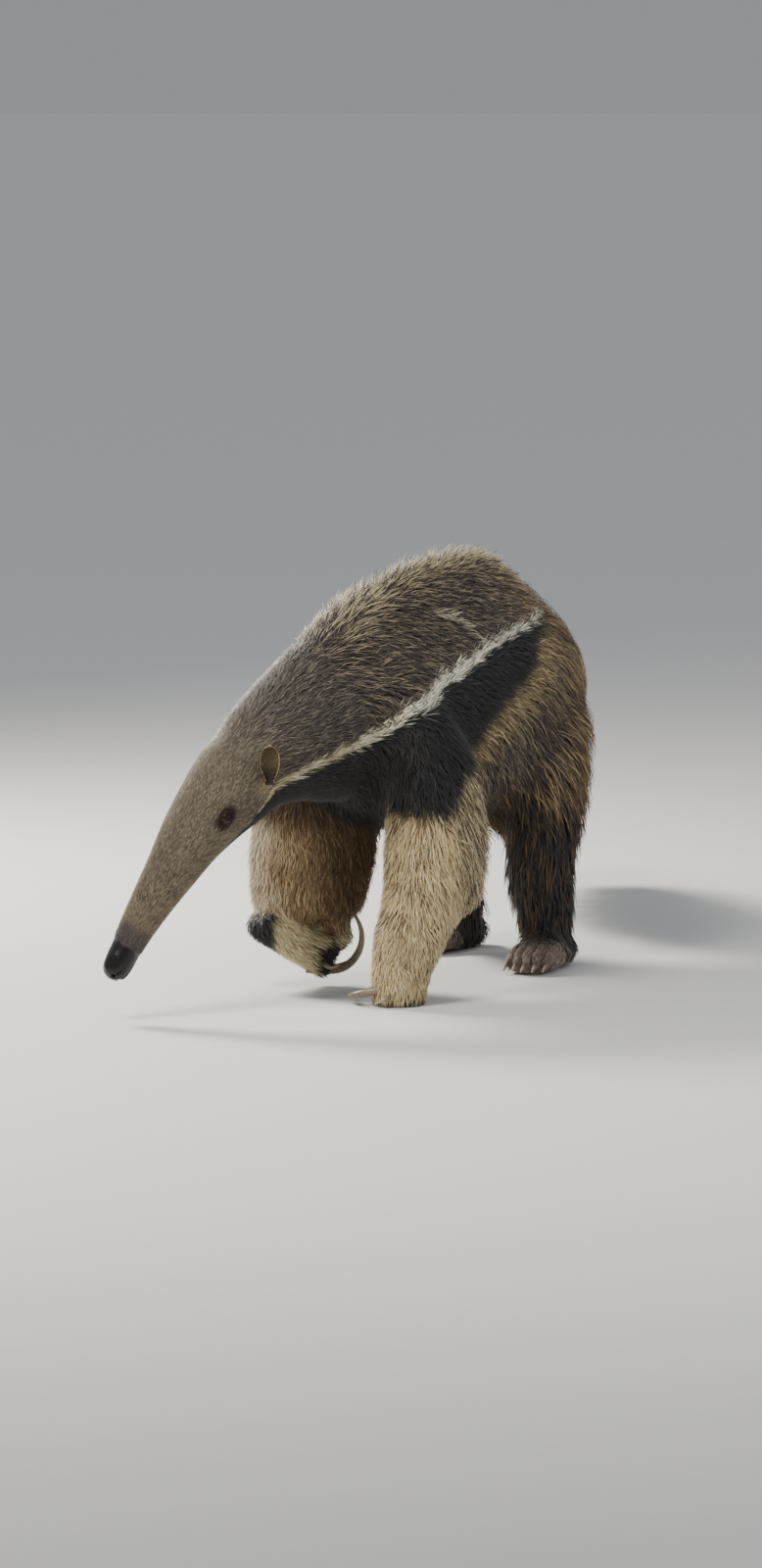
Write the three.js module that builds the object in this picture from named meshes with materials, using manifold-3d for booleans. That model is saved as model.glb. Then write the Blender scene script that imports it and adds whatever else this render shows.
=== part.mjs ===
// A giant anteater at life size, walking with its head low and its right forefoot folded back
// and just leaving the ground. The outline is that of the coat, out to the tips of the hair.
// Millimetres, +Z up. It faces -Y, and +X is its left. The origin is on the floor, under the
// middle of the whole outline.
import * as THREE from "three";
import { LoftGeometry } from "three/addons/geometries/LoftGeometry.js";
import { mergeVertices } from "three/addons/utils/BufferGeometryUtils.js";
import Module from "manifold-3d";

const wasm = await Module();
wasm.setup();

// Driving dimensions
const GAP = 0.4; // between neighbouring pieces
const BODY_SIDES = 22; // flats round the trunk, neck and head
const TAIL_SIDES = 16;
const LEG_SIDES = 14;
const CLAW_SIDES = 6;
const DOME_RINGS = 3; // rings that round off an end
const DOME_END = 0.35; // keeps the last ring of a dome open, as a small flat cap
const EYE_RADIUS = 9;
const EYE_ANGLE = 3; // degrees above the widest part of the head
const EYE_DEPTH = 5; // how far the eye's centre lies below the outline
const EAR_HEIGHT = 54;
const EAR_WIDTH = 30;
const EAR_BACK = 9; // how far the ear bulges behind
const EAR_HOLLOW = 4.5; // how far its front is dented
const EAR_ANGLE = 8; // degrees above the widest part of the head
const EAR_OUT = 12; // how far its middle stands out from the head
const EAR_RAISE = 0.42; // its middle above its root, as a share of its height
const EAR_TURN = 36; // degrees its hollow faces outward from straight ahead
const EAR_RIM = 1.5; // thickness of its front half at the rim
const EAR_TAPER = 0.2; // how much narrower it is at its root
const EAR_LEAN = { left: 0, right: 52 }; // degrees it is laid back along the neck
const CLAW_TAPER = 0.78; // how much a claw narrows to its last point
const CLAW_FLATNESS = 0.8; // its width over its height
const CLAW_TIP = 0.3; // length of its rounded end over its radius
const TOE_CURVE = 0.35; // how far a hind claw sits behind the middle one, over its distance across
const NOSTRIL_ANGLE = 28; // degrees a nostril stands above the side of the nose
const NOSTRIL_RADIUS = 3.6;
const MOUTH_WIDTH = 50;
const MOUTH_LENGTH = 44;
const MOUTH_HEIGHT = 1.6;
const MOUTH_ALONG = 0.72; // stations in front of the muzzle's
const MOUTH_DEPTH = 8; // its middle, in from the outline of the chin
const EYE_SETBACK = 0.78; // stations behind the one at the eyes
const EAR_FORWARD = 0.1; // stations in front of the one at the ears
const SPHERE_SIDES = 10;
const SPHERE_RINGS = 6;
const EAR_SIDES = 12;
const EAR_RINGS = 8;
const HIND_CLAW_RADIUS = 5;

// How far each rounded end of the body reaches beyond its last station
const DOMES = {
  rump: 24,
  nose: 14,
  tail: 30,
  shoulder: 36,
  cuff: 22,
  wrist: 26,
  finger: 14,
  hip: 40,
  ankle: 14,
  heel: 20,
  toe: 14,
};
const TRIM_BLOCK = 4000; // the block below the floor that trims the soles level

const UP = new THREE.Vector3(0, 0, 1);
const AHEAD = new THREE.Vector3(0, -1, 0);
const BROADSIDE = new THREE.Vector3(0.62, -0.785, 0); // the lifted forearm is turned outward

const COLOURS = {
  grizzled: { color: 0x5d5348, roughness: 0.9 },
  pale: { color: 0xb9a98a, roughness: 0.9 },
  brown: { color: 0x3a2c22, roughness: 0.9 },
  tail: { color: 0x4a3a2c, roughness: 0.92 },
  ear: { color: 0x8d7a5c, roughness: 0.85 },
  nose: { color: 0x14120f, roughness: 0.45 },
  eye: { color: 0x120b08, roughness: 0.12 },
  claw: { color: 0x6b6152, roughness: 0.5 },
};

// Each station of a spine gives its centre, the half width, and how far the section reaches to
// its top or front (above) and to its underside or back (below). ridge narrows the top into a
// crest.
const BACKBONE = {
  tail_root: { at: [-36, 372, 412], half: 66, above: 84, below: 112, ridge: 0.35 },
  rump: { at: [-18, 300, 408], half: 112, above: 148, below: 168, ridge: 0.4 },
  hips: { at: [-2, 190, 404], half: 138, above: 204, below: 190, ridge: 0.5 },
  loin: { at: [4, 70, 402], half: 143, above: 220, below: 198, ridge: 0.55 },
  ribs: { at: [6, -60, 404], half: 140, above: 214, below: 190, ridge: 0.55 },
  chest: { at: [4, -175, 408], half: 128, above: 194, below: 172, ridge: 0.5 },
  shoulders: { at: [0, -270, 410], half: 114, above: 162, below: 150, ridge: 0.42 },
  neck_base: { at: [-10, -352, 396], half: 96, above: 124, below: 122, ridge: 0.3 },
  neck: { at: [-28, -428, 368], half: 80, above: 97, below: 90, ridge: 0.18 },
  ears: { at: [-51, -489, 327], half: 65, above: 77, below: 62, ridge: 0.05 },
  cheeks: { at: [-73, -528, 288], half: 55, above: 61, below: 52, ridge: 0 },
  eyes: { at: [-92, -559, 249], half: 46, above: 51, below: 43, ridge: 0 },
  bridge: { at: [-107, -583, 211], half: 38, above: 42, below: 37, ridge: 0 },
  snout: { at: [-122, -606, 173], half: 32, above: 36, below: 30, ridge: 0 },
  muzzle: { at: [-140, -632, 127], half: 27, above: 29, below: 24, ridge: 0 },
  nose: { at: [-153, -650, 92], half: 23, above: 23, below: 22, ridge: 0 },
  nostrils: { at: [-160, -661, 70], half: 19, above: 20, below: 19, ridge: 0 },
};

// The plume hangs far below the bone of the tail, and thins to its fringe.
const TAIL = {
  root: { at: [-36, 372, 412], half: 66, above: 84, below: 112, ridge: 0.35 },
  dock: { at: [-70, 450, 408], half: 62, above: 76, below: 180, ridge: 0.35 },
  sweep: { at: [-124, 565, 386], half: 62, above: 72, below: 276, ridge: 0.35 },
  plume: { at: [-194, 710, 342], half: 62, above: 70, below: 312, ridge: 0.35 },
  brush: { at: [-268, 860, 280], half: 56, above: 70, below: 262, ridge: 0.35 },
  fringe: { at: [-330, 990, 210], half: 44, above: 70, below: 192, ridge: 0.3 },
  tip: { at: [-370, 1080, 142], half: 24, above: 50, below: 98, ridge: 0.2 },
};

// Legs run down from the shoulder or the hip.
const FORELEG = {
  blade: { at: [88, -262, 448], half: 34, above: 60, below: 64 },
  upper: { at: [108, -250, 372], half: 54, above: 72, below: 84 },
  elbow: { at: [121, -236, 292], half: 65, above: 74, below: 128 },
  forearm: { at: [121, -242, 228], half: 71, above: 70, below: 162 },
  fringe: { at: [120, -254, 182], half: 66, above: 66, below: 158 },
  taper: { at: [118, -274, 136], half: 57, above: 61, below: 72 },
  wrist: { at: [117, -296, 100], half: 52, above: 58, below: 58 },
  hand: { at: [113, -318, 45], half: 46, above: 52, below: 48 },
  sole: { at: [111, -326, -16], half: 38, above: 42, below: 42 },
};

const LIFTED_FORELEG = {
  blade: { at: [-92, -240, 448], half: 46, above: 50, below: 50 },
  upper: { at: [-98, -228, 366], half: 70, above: 60, below: 60 },
  elbow: { at: [-86, -205, 282], half: 90, above: 60, below: 58 },
  forearm: { at: [-87, -206, 200], half: 99, above: 56, below: 54 },
  cuff: { at: [-94, -212, 123], half: 89, above: 50, below: 46 },
};

// The lifted hand folds back under its forearm, and its knuckles still brush the floor.
const LIFTED_HAND = {
  wrist: { at: [-134, -260, 98], half: 38, above: 40, below: 34 },
  back: { at: [-112, -236, 72], half: 40, above: 33, below: 29 },
  knuckles: { at: [-90, -207, 56], half: 40, above: 34, below: 34 },
  pads: { at: [-76, -186, 48], half: 33, above: 30, below: 42 },
};

const HINDLEG_LEFT = {
  hip: { at: [92, 178, 430], half: 36, above: 78, below: 84 },
  thigh: { at: [108, 166, 348], half: 56, above: 100, below: 104 },
  knee: { at: [115, 142, 262], half: 61, above: 92, below: 92 },
  shank: { at: [108, 143, 176], half: 60, above: 78, below: 68 },
  ankle: { at: [104, 162, 96], half: 53, above: 62, below: 52 },
  heel: { at: [104, 172, 30], half: 43, above: 46, below: 42 },
};

const HINDLEG_RIGHT = {
  hip: { at: [-92, 190, 430], half: 36, above: 78, below: 84 },
  thigh: { at: [-108, 196, 348], half: 56, above: 100, below: 104 },
  knee: { at: [-118, 200, 262], half: 60, above: 88, below: 92 },
  shank: { at: [-110, 234, 176], half: 56, above: 66, below: 70 },
  ankle: { at: [-104, 284, 92], half: 49, above: 54, below: 52 },
  heel: { at: [-102, 304, 30], half: 42, above: 46, below: 42 },
};

// A hind foot stands flat on its whole sole, with its heel at y = 0 and its toes at -y.
const HINDFOOT = {
  heel: { at: [0, 0, 26], half: 32, above: 30, below: 32 },
  arch: { at: [0, -46, 26], half: 38, above: 38, below: 30 },
  ball: { at: [0, -104, 22], half: 43, above: 26, below: 27 },
  toes: { at: [0, -138, 17], half: 39, above: 18, below: 22 },
};
const HINDFOOT_LEFT = { at: [106, 200, 0], turn: 8 };
const HINDFOOT_RIGHT = { at: [-104, 334, 0], turn: -8 };
const HIND_CLAWS = 5;
const HIND_CLAW_SPREAD = 15; // between neighbouring claws

// A hind claw's points: its share of the spread, its distance ahead of the heel, and its height
const HIND_CLAW = [
  { share: 0.9, ahead: 140, high: 17 },
  { share: 1, ahead: 158, high: 13 },
  { share: 1, ahead: 172, high: 6 },
];

// Claws of the forefeet, from inside the digit to the tip. The first digit is the innermost.
const PLANTED_CLAWS = {
  1: { path: [[86, -286, 36], [68, -280, 28], [60, -268, 20]], radius: 4.5 },
  2: { path: [[90, -318, 24], [68, -316, 15], [58, -302, 11], [57, -286, 11]], radius: 6.5 },
  3: { path: [[98, -352, 24], [74, -366, 18], [52, -356, 12], [40, -330, 11], [38, -304, 13]], radius: 8.5 },
  4: { path: [[120, -352, 20], [116, -374, 13], [106, -386, 7]], radius: 5 },
};
const LIFTED_CLAWS = {
  1: { path: [[-100, -186, 66], [-92, -172, 74], [-92, -164, 88]], radius: 4.5 },
  2: { path: [[-96, -178, 44], [-84, -158, 34], [-74, -148, 48], [-74, -148, 68]], radius: 6 },
  3: {
    path: [
      [-82, -200, 26], [-53, -177, 22], [-33, -165, 43], [-27, -161, 71], [-33, -163, 95], [-46, -166, 110],
    ],
    radius: 8.5,
  },
  4: { path: [[-70, -216, 40], [-54, -212, 28], [-44, -204, 34]], radius: 5 },
};

// The fleshy pad of the folded hand, which its big claw curls round
const PALM = { at: [-64, -183, 79], radii: [33, 24, 31] };

// A spine with smooth centres and sizes. facing is the way its top points.
function spineOf(stations, facing) {
  const list = Object.values(stations);
  const curve = (pick) => new THREE.CatmullRomCurve3(list.map(pick));
  return {
    names: Object.keys(stations),
    centres: curve((s) => new THREE.Vector3(...s.at)),
    sizes: curve((s) => new THREE.Vector3(s.half, s.above, s.below)),
    ridges: curve((s, i) => new THREE.Vector3(i, s.ridge ?? 0, 0)),
    facing,
  };
}

// One ring of points round the spine, at t from 0 to 1.
function ring(spine, t, sides, { scale = 1, slide = 0, grow = 0 } = {}) {
  const centre = spine.centres.getPoint(t);
  const along = spine.centres.getTangent(t);
  const side = new THREE.Vector3().crossVectors(spine.facing, along).normalize();
  const top = new THREE.Vector3().crossVectors(along, side);
  const { x: half, y: above, z: below } = spine.sizes.getPoint(t);
  const ridge = spine.ridges.getPoint(t).y;
  return Array.from({ length: sides }, (_, i) => {
    const angle = (2 * Math.PI * i) / sides;
    const rise = Math.sin(angle);
    const crest = 1 - ridge * Math.max(0, rise) ** 2;
    const across = (half + grow) * Math.cos(angle) * crest * scale;
    const reach = ((rise > 0 ? above : below) + grow) * rise * scale;
    return centre
      .clone()
      .addScaledVector(along, slide)
      .addScaledVector(side, across)
      .addScaledVector(top, reach);
  });
}

// Rings that round off an end to this depth. direction is -1 at the start and 1 at the end.
function dome(spine, t, sides, depth, direction, grow) {
  return Array.from({ length: DOME_RINGS }, (_, k) => {
    const angle = (Math.PI / 2) * ((k + 1) / (DOME_RINGS + DOME_END));
    const slide = direction * (depth + grow) * Math.sin(angle);
    return ring(spine, t, sides, { scale: Math.cos(angle), slide, grow });
  });
}

// The stretch of a spine between two named stations. start and end are the depths of its domes,
// and an end without one is flat and leaves half the gap.
function stretch(spine, from, to, { sides, rings, start = 0, end = 0, grow = 0 }) {
  const last = spine.names.length - 1;
  const first = spine.names.indexOf(from) / last;
  const final = spine.names.indexOf(to) / last;
  const sections = Array.from({ length: rings + 1 }, (_, i) => {
    const slide = i === 0 && !start ? GAP / 2 : i === rings && !end ? -GAP / 2 : 0;
    return ring(spine, THREE.MathUtils.lerp(first, final, i / rings), sides, { slide, grow });
  });
  if (start) sections.unshift(...dome(spine, first, sides, start, -1, grow).reverse());
  if (end) sections.push(...dome(spine, final, sides, end, 1, grow));
  return solid(new LoftGeometry(sections, { capStart: true, capEnd: true }));
}

// A closed geometry as a solid that can be joined and cut.
function solid(geometry) {
  const bare = new THREE.BufferGeometry()
    .setAttribute("position", geometry.attributes.position)
    .setIndex(geometry.index);
  const merged = mergeVertices(bare, 1e-3);
  return new wasm.Manifold(
    new wasm.Mesh({
      numProp: 3,
      vertProperties: merged.attributes.position.array,
      triVerts: new Uint32Array(merged.index.array),
    }),
  );
}

const animal = new THREE.Group();

function add(name, made, colour) {
  const { vertProperties, triVerts } = made.getMesh();
  const geometry = new THREE.BufferGeometry()
    .setAttribute("position", new THREE.BufferAttribute(vertProperties, 3))
    .setIndex(new THREE.BufferAttribute(triVerts, 1));
  const material = new THREE.MeshStandardMaterial({ ...COLOURS[colour], metalness: 0 });
  const mesh = new THREE.Mesh(geometry, material);
  mesh.name = name;
  animal.add(mesh);
}

function ellipsoid(centre, [x, y, z], turn = new THREE.Quaternion()) {
  const matrix = new THREE.Matrix4().compose(centre, turn, new THREE.Vector3(x, y, z));
  return solid(new THREE.SphereGeometry(1, SPHERE_SIDES, SPHERE_RINGS).applyMatrix4(matrix));
}

const backbone = spineOf(BACKBONE, UP);
const tailSpine = spineOf(TAIL, UP);
const belowFloor = solid(
  new THREE.BoxGeometry(TRIM_BLOCK, TRIM_BLOCK, TRIM_BLOCK).translate(0, 0, -TRIM_BLOCK / 2),
);

// A point of the backbone's outline, offset stations past the named one. The angle is from the
// animal's left side up over the top, and depth is how far in from the outline.
function onBody(station, offset, angle, depth) {
  const t = (backbone.names.indexOf(station) + offset) / (backbone.names.length - 1);
  const degrees = 360;
  return ring(backbone, t, degrees, { grow: -depth })[(Math.round(angle) + degrees) % degrees];
}

// Trunk and neck
const trunkOptions = { sides: BODY_SIDES, rings: 13, start: DOMES.rump };
const neckOptions = { sides: BODY_SIDES, rings: 4 };
const trunk = (grow) => stretch(backbone, "tail_root", "neck_base", { ...trunkOptions, grow });
const neck = (grow) => stretch(backbone, "neck_base", "ears", { ...neckOptions, grow });
const bodyGrown = trunk(GAP).add(neck(GAP));
add("trunk", trunk(0), "grizzled");
add("neck", neck(0), "grizzled");

// Head, with sockets for the eyes and a small mouth under the nose
const headOptions = { sides: BODY_SIDES, rings: 9 };
const head = (grow) => stretch(backbone, "ears", "nose", { ...headOptions, grow });
const nose = stretch(backbone, "nose", "nostrils", { sides: BODY_SIDES, rings: 2, end: DOMES.nose });
const eyes = {
  left: onBody("eyes", -EYE_SETBACK, EYE_ANGLE, EYE_DEPTH),
  right: onBody("eyes", -EYE_SETBACK, 180 - EYE_ANGLE, EYE_DEPTH),
};
const eyeball = (centre, radius) => ellipsoid(centre, [radius, radius, radius]);

const jawline = new THREE.Vector3(...BACKBONE.nose.at)
  .sub(new THREE.Vector3(...BACKBONE.muzzle.at))
  .normalize();
const mouth = ellipsoid(
  onBody("muzzle", MOUTH_ALONG, -90, MOUTH_DEPTH),
  [MOUTH_WIDTH / 2, MOUTH_LENGTH / 2, MOUTH_HEIGHT / 2],
  new THREE.Quaternion().setFromUnitVectors(AHEAD, jawline),
);

add(
  "head",
  head(0)
    .subtract(eyeball(eyes.left, EYE_RADIUS + GAP))
    .subtract(eyeball(eyes.right, EYE_RADIUS + GAP))
    .subtract(mouth),
  "grizzled",
);
add("eye_left", eyeball(eyes.left, EYE_RADIUS), "eye");
add("eye_right", eyeball(eyes.right, EYE_RADIUS), "eye");

const nostril = (angle) =>
  ellipsoid(onBody("nostrils", 0, angle, -1), [NOSTRIL_RADIUS, NOSTRIL_RADIUS, 2 * NOSTRIL_RADIUS]);
const nostrils = nostril(NOSTRIL_ANGLE).add(nostril(180 - NOSTRIL_ANGLE));
add("nose", nose.subtract(mouth).subtract(nostrils), "nose");

// An ear is a rounded shell, dented on its front. side is 1 on the animal's left.
function ear(side, lean) {
  const shell = new THREE.SphereGeometry(1, EAR_SIDES, EAR_RINGS);
  const points = shell.attributes.position;
  for (let i = 0; i < points.count; i++) {
    const p = new THREE.Vector3().fromBufferAttribute(points, i);
    const taper = 1 - EAR_TAPER * Math.max(0, -p.z);
    const front = -EAR_RIM - EAR_HOLLOW * p.y * p.y;
    const thick = p.y < 0 ? p.y * front : p.y * EAR_BACK;
    const up = p.z / 2 + EAR_RAISE;
    points.setXYZ(i, (p.x * EAR_WIDTH * taper) / 2, thick, up * EAR_HEIGHT);
  }
  shell.rotateX(-THREE.MathUtils.degToRad(lean));
  shell.rotateZ(THREE.MathUtils.degToRad(side * EAR_TURN));
  const root = onBody("ears", EAR_FORWARD, 90 - side * (90 - EAR_ANGLE), 0);
  return solid(shell.translate(root.x + side * EAR_OUT, root.y, root.z));
}
const headGrown = head(GAP).add(neck(GAP));
add("ear_left", ear(1, EAR_LEAN.left).subtract(headGrown), "ear");
add("ear_right", ear(-1, EAR_LEAN.right).subtract(headGrown), "ear");

// Tail
const tailPart = (from, to, end = 0) =>
  stretch(tailSpine, from, to, { sides: TAIL_SIDES, rings: 4, end });
add("tail_base", tailPart("root", "sweep").subtract(bodyGrown), "tail");
add("tail_plume", tailPart("sweep", "brush"), "tail");
add("tail_tip", tailPart("brush", "tip", DOMES.tail), "tail");

// A claw tapers along its path, and is cut where it enters its digit.
function claw(name, { path, radius }, digitGrown) {
  const stations = path.map((at, i) => {
    const size = radius * (1 - (CLAW_TAPER * i) / (path.length - 1));
    return [String(i), { at, half: size * CLAW_FLATNESS, above: size, below: size }];
  });
  const spine = spineOf(Object.fromEntries(stations), UP);
  const made = stretch(spine, "0", String(path.length - 1), {
    sides: CLAW_SIDES,
    rings: path.length + 1,
    end: radius * CLAW_TIP,
  });
  add(name, made.subtract(digitGrown).subtract(belowFloor), "claw");
}

// A leg's pieces, cut where they enter the body and trimmed at the floor.
function leg(name, spine, pieces) {
  for (const { part, from, to, rings, start, end, lobe, without, colour } of pieces) {
    let made = stretch(spine, from, to, { sides: LEG_SIDES, rings, start, end });
    if (lobe) made = made.add(lobe);
    made = made.subtract(bodyGrown).subtract(belowFloor);
    add(name + "_" + part, without ? made.subtract(without) : made, colour);
  }
}

// Forelegs. The left one is planted; the right one is folded at the wrist.
const foreleg = spineOf(FORELEG, AHEAD);
leg("foreleg_left", foreleg, [
  { part: "upper", from: "blade", to: "elbow", rings: 5, start: DOMES.shoulder, colour: "pale" },
  { part: "forearm", from: "elbow", to: "wrist", rings: 7, colour: "pale" },
  { part: "hand", from: "wrist", to: "sole", rings: 4, colour: "pale" },
]);
const plantedHand = stretch(foreleg, "wrist", "sole", { sides: LEG_SIDES, rings: 4, grow: GAP });
for (const [digit, shape] of Object.entries(PLANTED_CLAWS)) {
  claw("foreleg_left_claw_" + digit, shape, plantedHand);
}

const liftedLeg = spineOf(LIFTED_FORELEG, BROADSIDE);
const liftedHand = spineOf(LIFTED_HAND, UP);
const cuffOptions = { sides: LEG_SIDES, rings: 5, end: DOMES.cuff };
const liftedForearm = stretch(liftedLeg, "elbow", "cuff", { ...cuffOptions, grow: GAP });
const palm = (grow) => ellipsoid(new THREE.Vector3(...PALM.at), PALM.radii.map((r) => r + grow));
const folded = { without: liftedForearm };
const handOptions = { sides: LEG_SIDES, rings: 5, start: DOMES.wrist, end: DOMES.finger };
leg("foreleg_right", liftedLeg, [
  { part: "upper", from: "blade", to: "elbow", rings: 4, start: DOMES.shoulder, colour: "pale" },
  { part: "forearm", from: "elbow", to: "cuff", ...cuffOptions, colour: "pale" },
]);
leg("foreleg_right", liftedHand, [
  { ...handOptions, part: "hand", from: "wrist", to: "pads", lobe: palm(0), ...folded, colour: "pale" },
]);
const foldedHand = stretch(liftedHand, "wrist", "pads", { ...handOptions, grow: GAP }).add(palm(GAP));
for (const [digit, shape] of Object.entries(LIFTED_CLAWS)) {
  claw("foreleg_right_claw_" + digit, shape, foldedHand.add(liftedForearm));
}

// Hind legs, flat on their soles
function placed([x, y, z], { at, turn }) {
  const point = new THREE.Vector3(x, y, z).applyAxisAngle(UP, THREE.MathUtils.degToRad(turn));
  return point.add(new THREE.Vector3(...at)).toArray();
}

for (const [side, stations, place] of [
  ["left", HINDLEG_LEFT, HINDFOOT_LEFT],
  ["right", HINDLEG_RIGHT, HINDFOOT_RIGHT],
]) {
  const spine = spineOf(stations, AHEAD);
  const name = "hindleg_" + side;
  const shankOptions = { sides: LEG_SIDES, rings: 6, end: DOMES.ankle };
  const shankGrown = stretch(spine, "knee", "heel", { ...shankOptions, grow: GAP });
  leg(name, spine, [
    { part: "thigh", from: "hip", to: "knee", rings: 5, start: DOMES.hip, colour: "brown" },
    { part: "shank", from: "knee", to: "heel", ...shankOptions, colour: "brown" },
  ]);
  const footStations = Object.entries(HINDFOOT).map(([key, s]) => [key, { ...s, at: placed(s.at, place) }]);
  const foot = spineOf(Object.fromEntries(footStations), UP);
  const footOptions = { sides: LEG_SIDES, rings: 6, start: DOMES.heel, end: DOMES.toe };
  leg(name, foot, [
    { part: "foot", from: "heel", to: "toes", ...footOptions, without: shankGrown, colour: "brown" },
  ]);
  const footGrown = stretch(foot, "heel", "toes", { ...footOptions, grow: GAP });
  for (let i = 0; i < HIND_CLAWS; i++) {
    const across = (i - (HIND_CLAWS - 1) / 2) * HIND_CLAW_SPREAD;
    const back = Math.abs(across) * TOE_CURVE;
    const path = HIND_CLAW.map(({ share, ahead, high }) => [across * share, back - ahead, high]);
    const shape = { path: path.map((p) => placed(p, place)), radius: HIND_CLAW_RADIUS };
    claw(name + "_claw_" + (i + 1), shape, footGrown);
  }
}

// The origin goes under the middle of the outline.
const outline = new THREE.Box3().setFromObject(animal);
const middle = outline.getCenter(new THREE.Vector3());
for (const mesh of animal.children) mesh.geometry.translate(-middle.x, -middle.y, -outline.min.z);

export default animal;
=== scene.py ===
import math

import bmesh
import bpy
import numpy as np
from mathutils import Matrix, Vector
from mathutils.bvhtree import BVHTree
from numpy.linalg import norm


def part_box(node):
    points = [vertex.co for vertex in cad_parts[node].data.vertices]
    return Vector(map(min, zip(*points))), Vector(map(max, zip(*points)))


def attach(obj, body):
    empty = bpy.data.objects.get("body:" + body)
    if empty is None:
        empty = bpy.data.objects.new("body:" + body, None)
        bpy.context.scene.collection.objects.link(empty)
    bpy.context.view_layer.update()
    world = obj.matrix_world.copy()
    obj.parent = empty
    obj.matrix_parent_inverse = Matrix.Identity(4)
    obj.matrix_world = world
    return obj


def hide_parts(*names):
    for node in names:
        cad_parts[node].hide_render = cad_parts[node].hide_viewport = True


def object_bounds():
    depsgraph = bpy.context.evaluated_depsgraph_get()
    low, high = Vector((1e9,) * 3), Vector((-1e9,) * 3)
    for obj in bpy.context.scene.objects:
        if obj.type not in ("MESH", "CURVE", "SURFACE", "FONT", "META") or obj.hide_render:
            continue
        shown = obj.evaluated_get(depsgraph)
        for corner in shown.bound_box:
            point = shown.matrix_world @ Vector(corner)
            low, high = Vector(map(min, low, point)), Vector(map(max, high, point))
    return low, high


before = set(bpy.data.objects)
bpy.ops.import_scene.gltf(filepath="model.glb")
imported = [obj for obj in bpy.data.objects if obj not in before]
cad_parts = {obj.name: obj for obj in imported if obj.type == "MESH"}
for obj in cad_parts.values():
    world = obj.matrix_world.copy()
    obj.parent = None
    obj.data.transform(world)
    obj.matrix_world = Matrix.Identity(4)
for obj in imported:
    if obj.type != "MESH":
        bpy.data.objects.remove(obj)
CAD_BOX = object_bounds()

RNG = np.random.default_rng(11)


def middle_of(node):
    """The middle of a CAD node's box."""
    return np.array(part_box(node)).mean(0)


# Points are in metres, or millimetres for the claws, where the middle of the trunk's box is TRUNK_CENTRE.
TRUNK_CENTRE = np.array((0.0042, 0.0079, 0.4129))
SHIFT = middle_of("trunk") - TRUNK_CENTRE

VOXEL = 0.005
SEAM = 0.0005  # how far the pieces of the body grow so that they merge
LENS = 194.4
SENSOR = 36.0
IMAGE_HEIGHT = 1600
AZIMUTH = math.radians(27)
ELEVATION = math.radians(7.5)
DISTANCE = 12.0
AIM = (27, 224)  # pixels right of and below the middle of the picture, where the planted forefoot falls

# depth of the coat, length, width and spacing of its locks, their lift in degrees, and the way they lie
REGIONS = {
    "nose": (0.0, 0.0, 0.001, 0.010, 10, (0.33, 0.52, 0.78)),
    "head": (0.002, 0.0080, 0.0009, 0.0020, 10, (0.33, 0.52, 0.78)),
    "neck": (0.007, 0.018, 0.0013, 0.0027, 24, (0.17, 0.93, 0.20)),
    "trunk": (0.016, 0.036, 0.0019, 0.0037, 30, (0.0, 0.86, -0.50)),
    "foreleg_left_upper": (0.011, 0.028, 0.0018, 0.0034, 22, (0.0, 0.35, -0.93)),
    "foreleg_left_forearm": (0.011, 0.034, 0.0018, 0.0033, 24, (0.0, 0.28, -0.95)),
    "foreleg_left_hand": (0.006, 0.018, 0.0018, 0.0032, 18, (0.0, -0.15, -0.98)),
    "foreleg_right_upper": (0.011, 0.028, 0.0018, 0.0036, 22, (0.0, 0.1, -0.99)),
    "foreleg_right_forearm": (0.009, 0.027, 0.0015, 0.0029, 22, (-0.12, 0.05, -0.98)),
    "foreleg_right_hand": (0.005, 0.017, 0.0017, 0.0030, 20, (0.40, 0.48, -0.60)),
    "thigh": (0.022, 0.075, 0.0032, 0.0052, 20, (0.0, 0.35, -0.93)),
    "shank": (0.018, 0.055, 0.0028, 0.0046, 18, (0.0, 0.12, -0.99)),
    "foot": (0.003, 0.012, 0.0016, 0.0030, 14, (0.0, -0.8, -0.5)),
    "tail_base": (0.0, 0.10, 0.003, 0.006, 25, (-0.3, 0.9, -0.2)),
    "ear": (0.0, 0.005, 0.0008, 0.0015, 28, (0.0, 0.1, 1.0)),
}
FLESH = [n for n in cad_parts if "claw" not in n and not n.startswith("eye_")]
TAIL_NODES = [n for n in FLESH if n.startswith("tail_")]
EAR_NODES = [n for n in FLESH if n.startswith("ear_")]
TAIL_BONE = np.array(((-0.030, 0.31, 0.425), (-0.040, 0.38, 0.425), (-0.072, 0.45, 0.425),
                      (-0.125, 0.56, 0.405), (-0.195, 0.71, 0.362), (-0.268, 0.86, 0.300),
                      (-0.325, 0.98, 0.228), (-0.352, 1.04, 0.186)))
TAIL_RADIUS = (0.052, 0.048, 0.043, 0.037, 0.030, 0.023, 0.016, 0.009)
TAIL_LOCKS = 14500
TAIL_PIECES = 3
PIECE_LIMIT = 185000  # triangles in one piece of the coat
SIDES = ("left", "right")
FLOOR_GAP = 0.0003  # of the skin over the floor
HAIR_FLOOR_GAP = 0.0006  # of the locks and claws over it
FOOT_HEIGHT = 0.03  # below it a standing foot is lowered onto the floor
FLOOR_HALF = 90
COAT_PIECES = {"nose": "head", "ear": "head", "thigh": "hindleg", "shank": "hindleg", "foot": "hindleg"}


def region_of(node):
    """The row of REGIONS that a CAD node belongs to."""
    for part in ("thigh", "shank", "foot", "ear"):
        if node.split("_")[-1] == part or node.startswith(part):
            return part
    return "tail_base" if node.startswith("tail") else node


def unit(v):
    """Vectors of length one."""
    return v / np.maximum(norm(v, axis=-1, keepdims=True), 1e-12)


def ramp(low, high, x):
    """0 below low, 1 above high, and an even curve between."""
    t = np.clip((x - low) / (high - low), 0, 1)
    return t * t * (3 - 2 * t)


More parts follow.
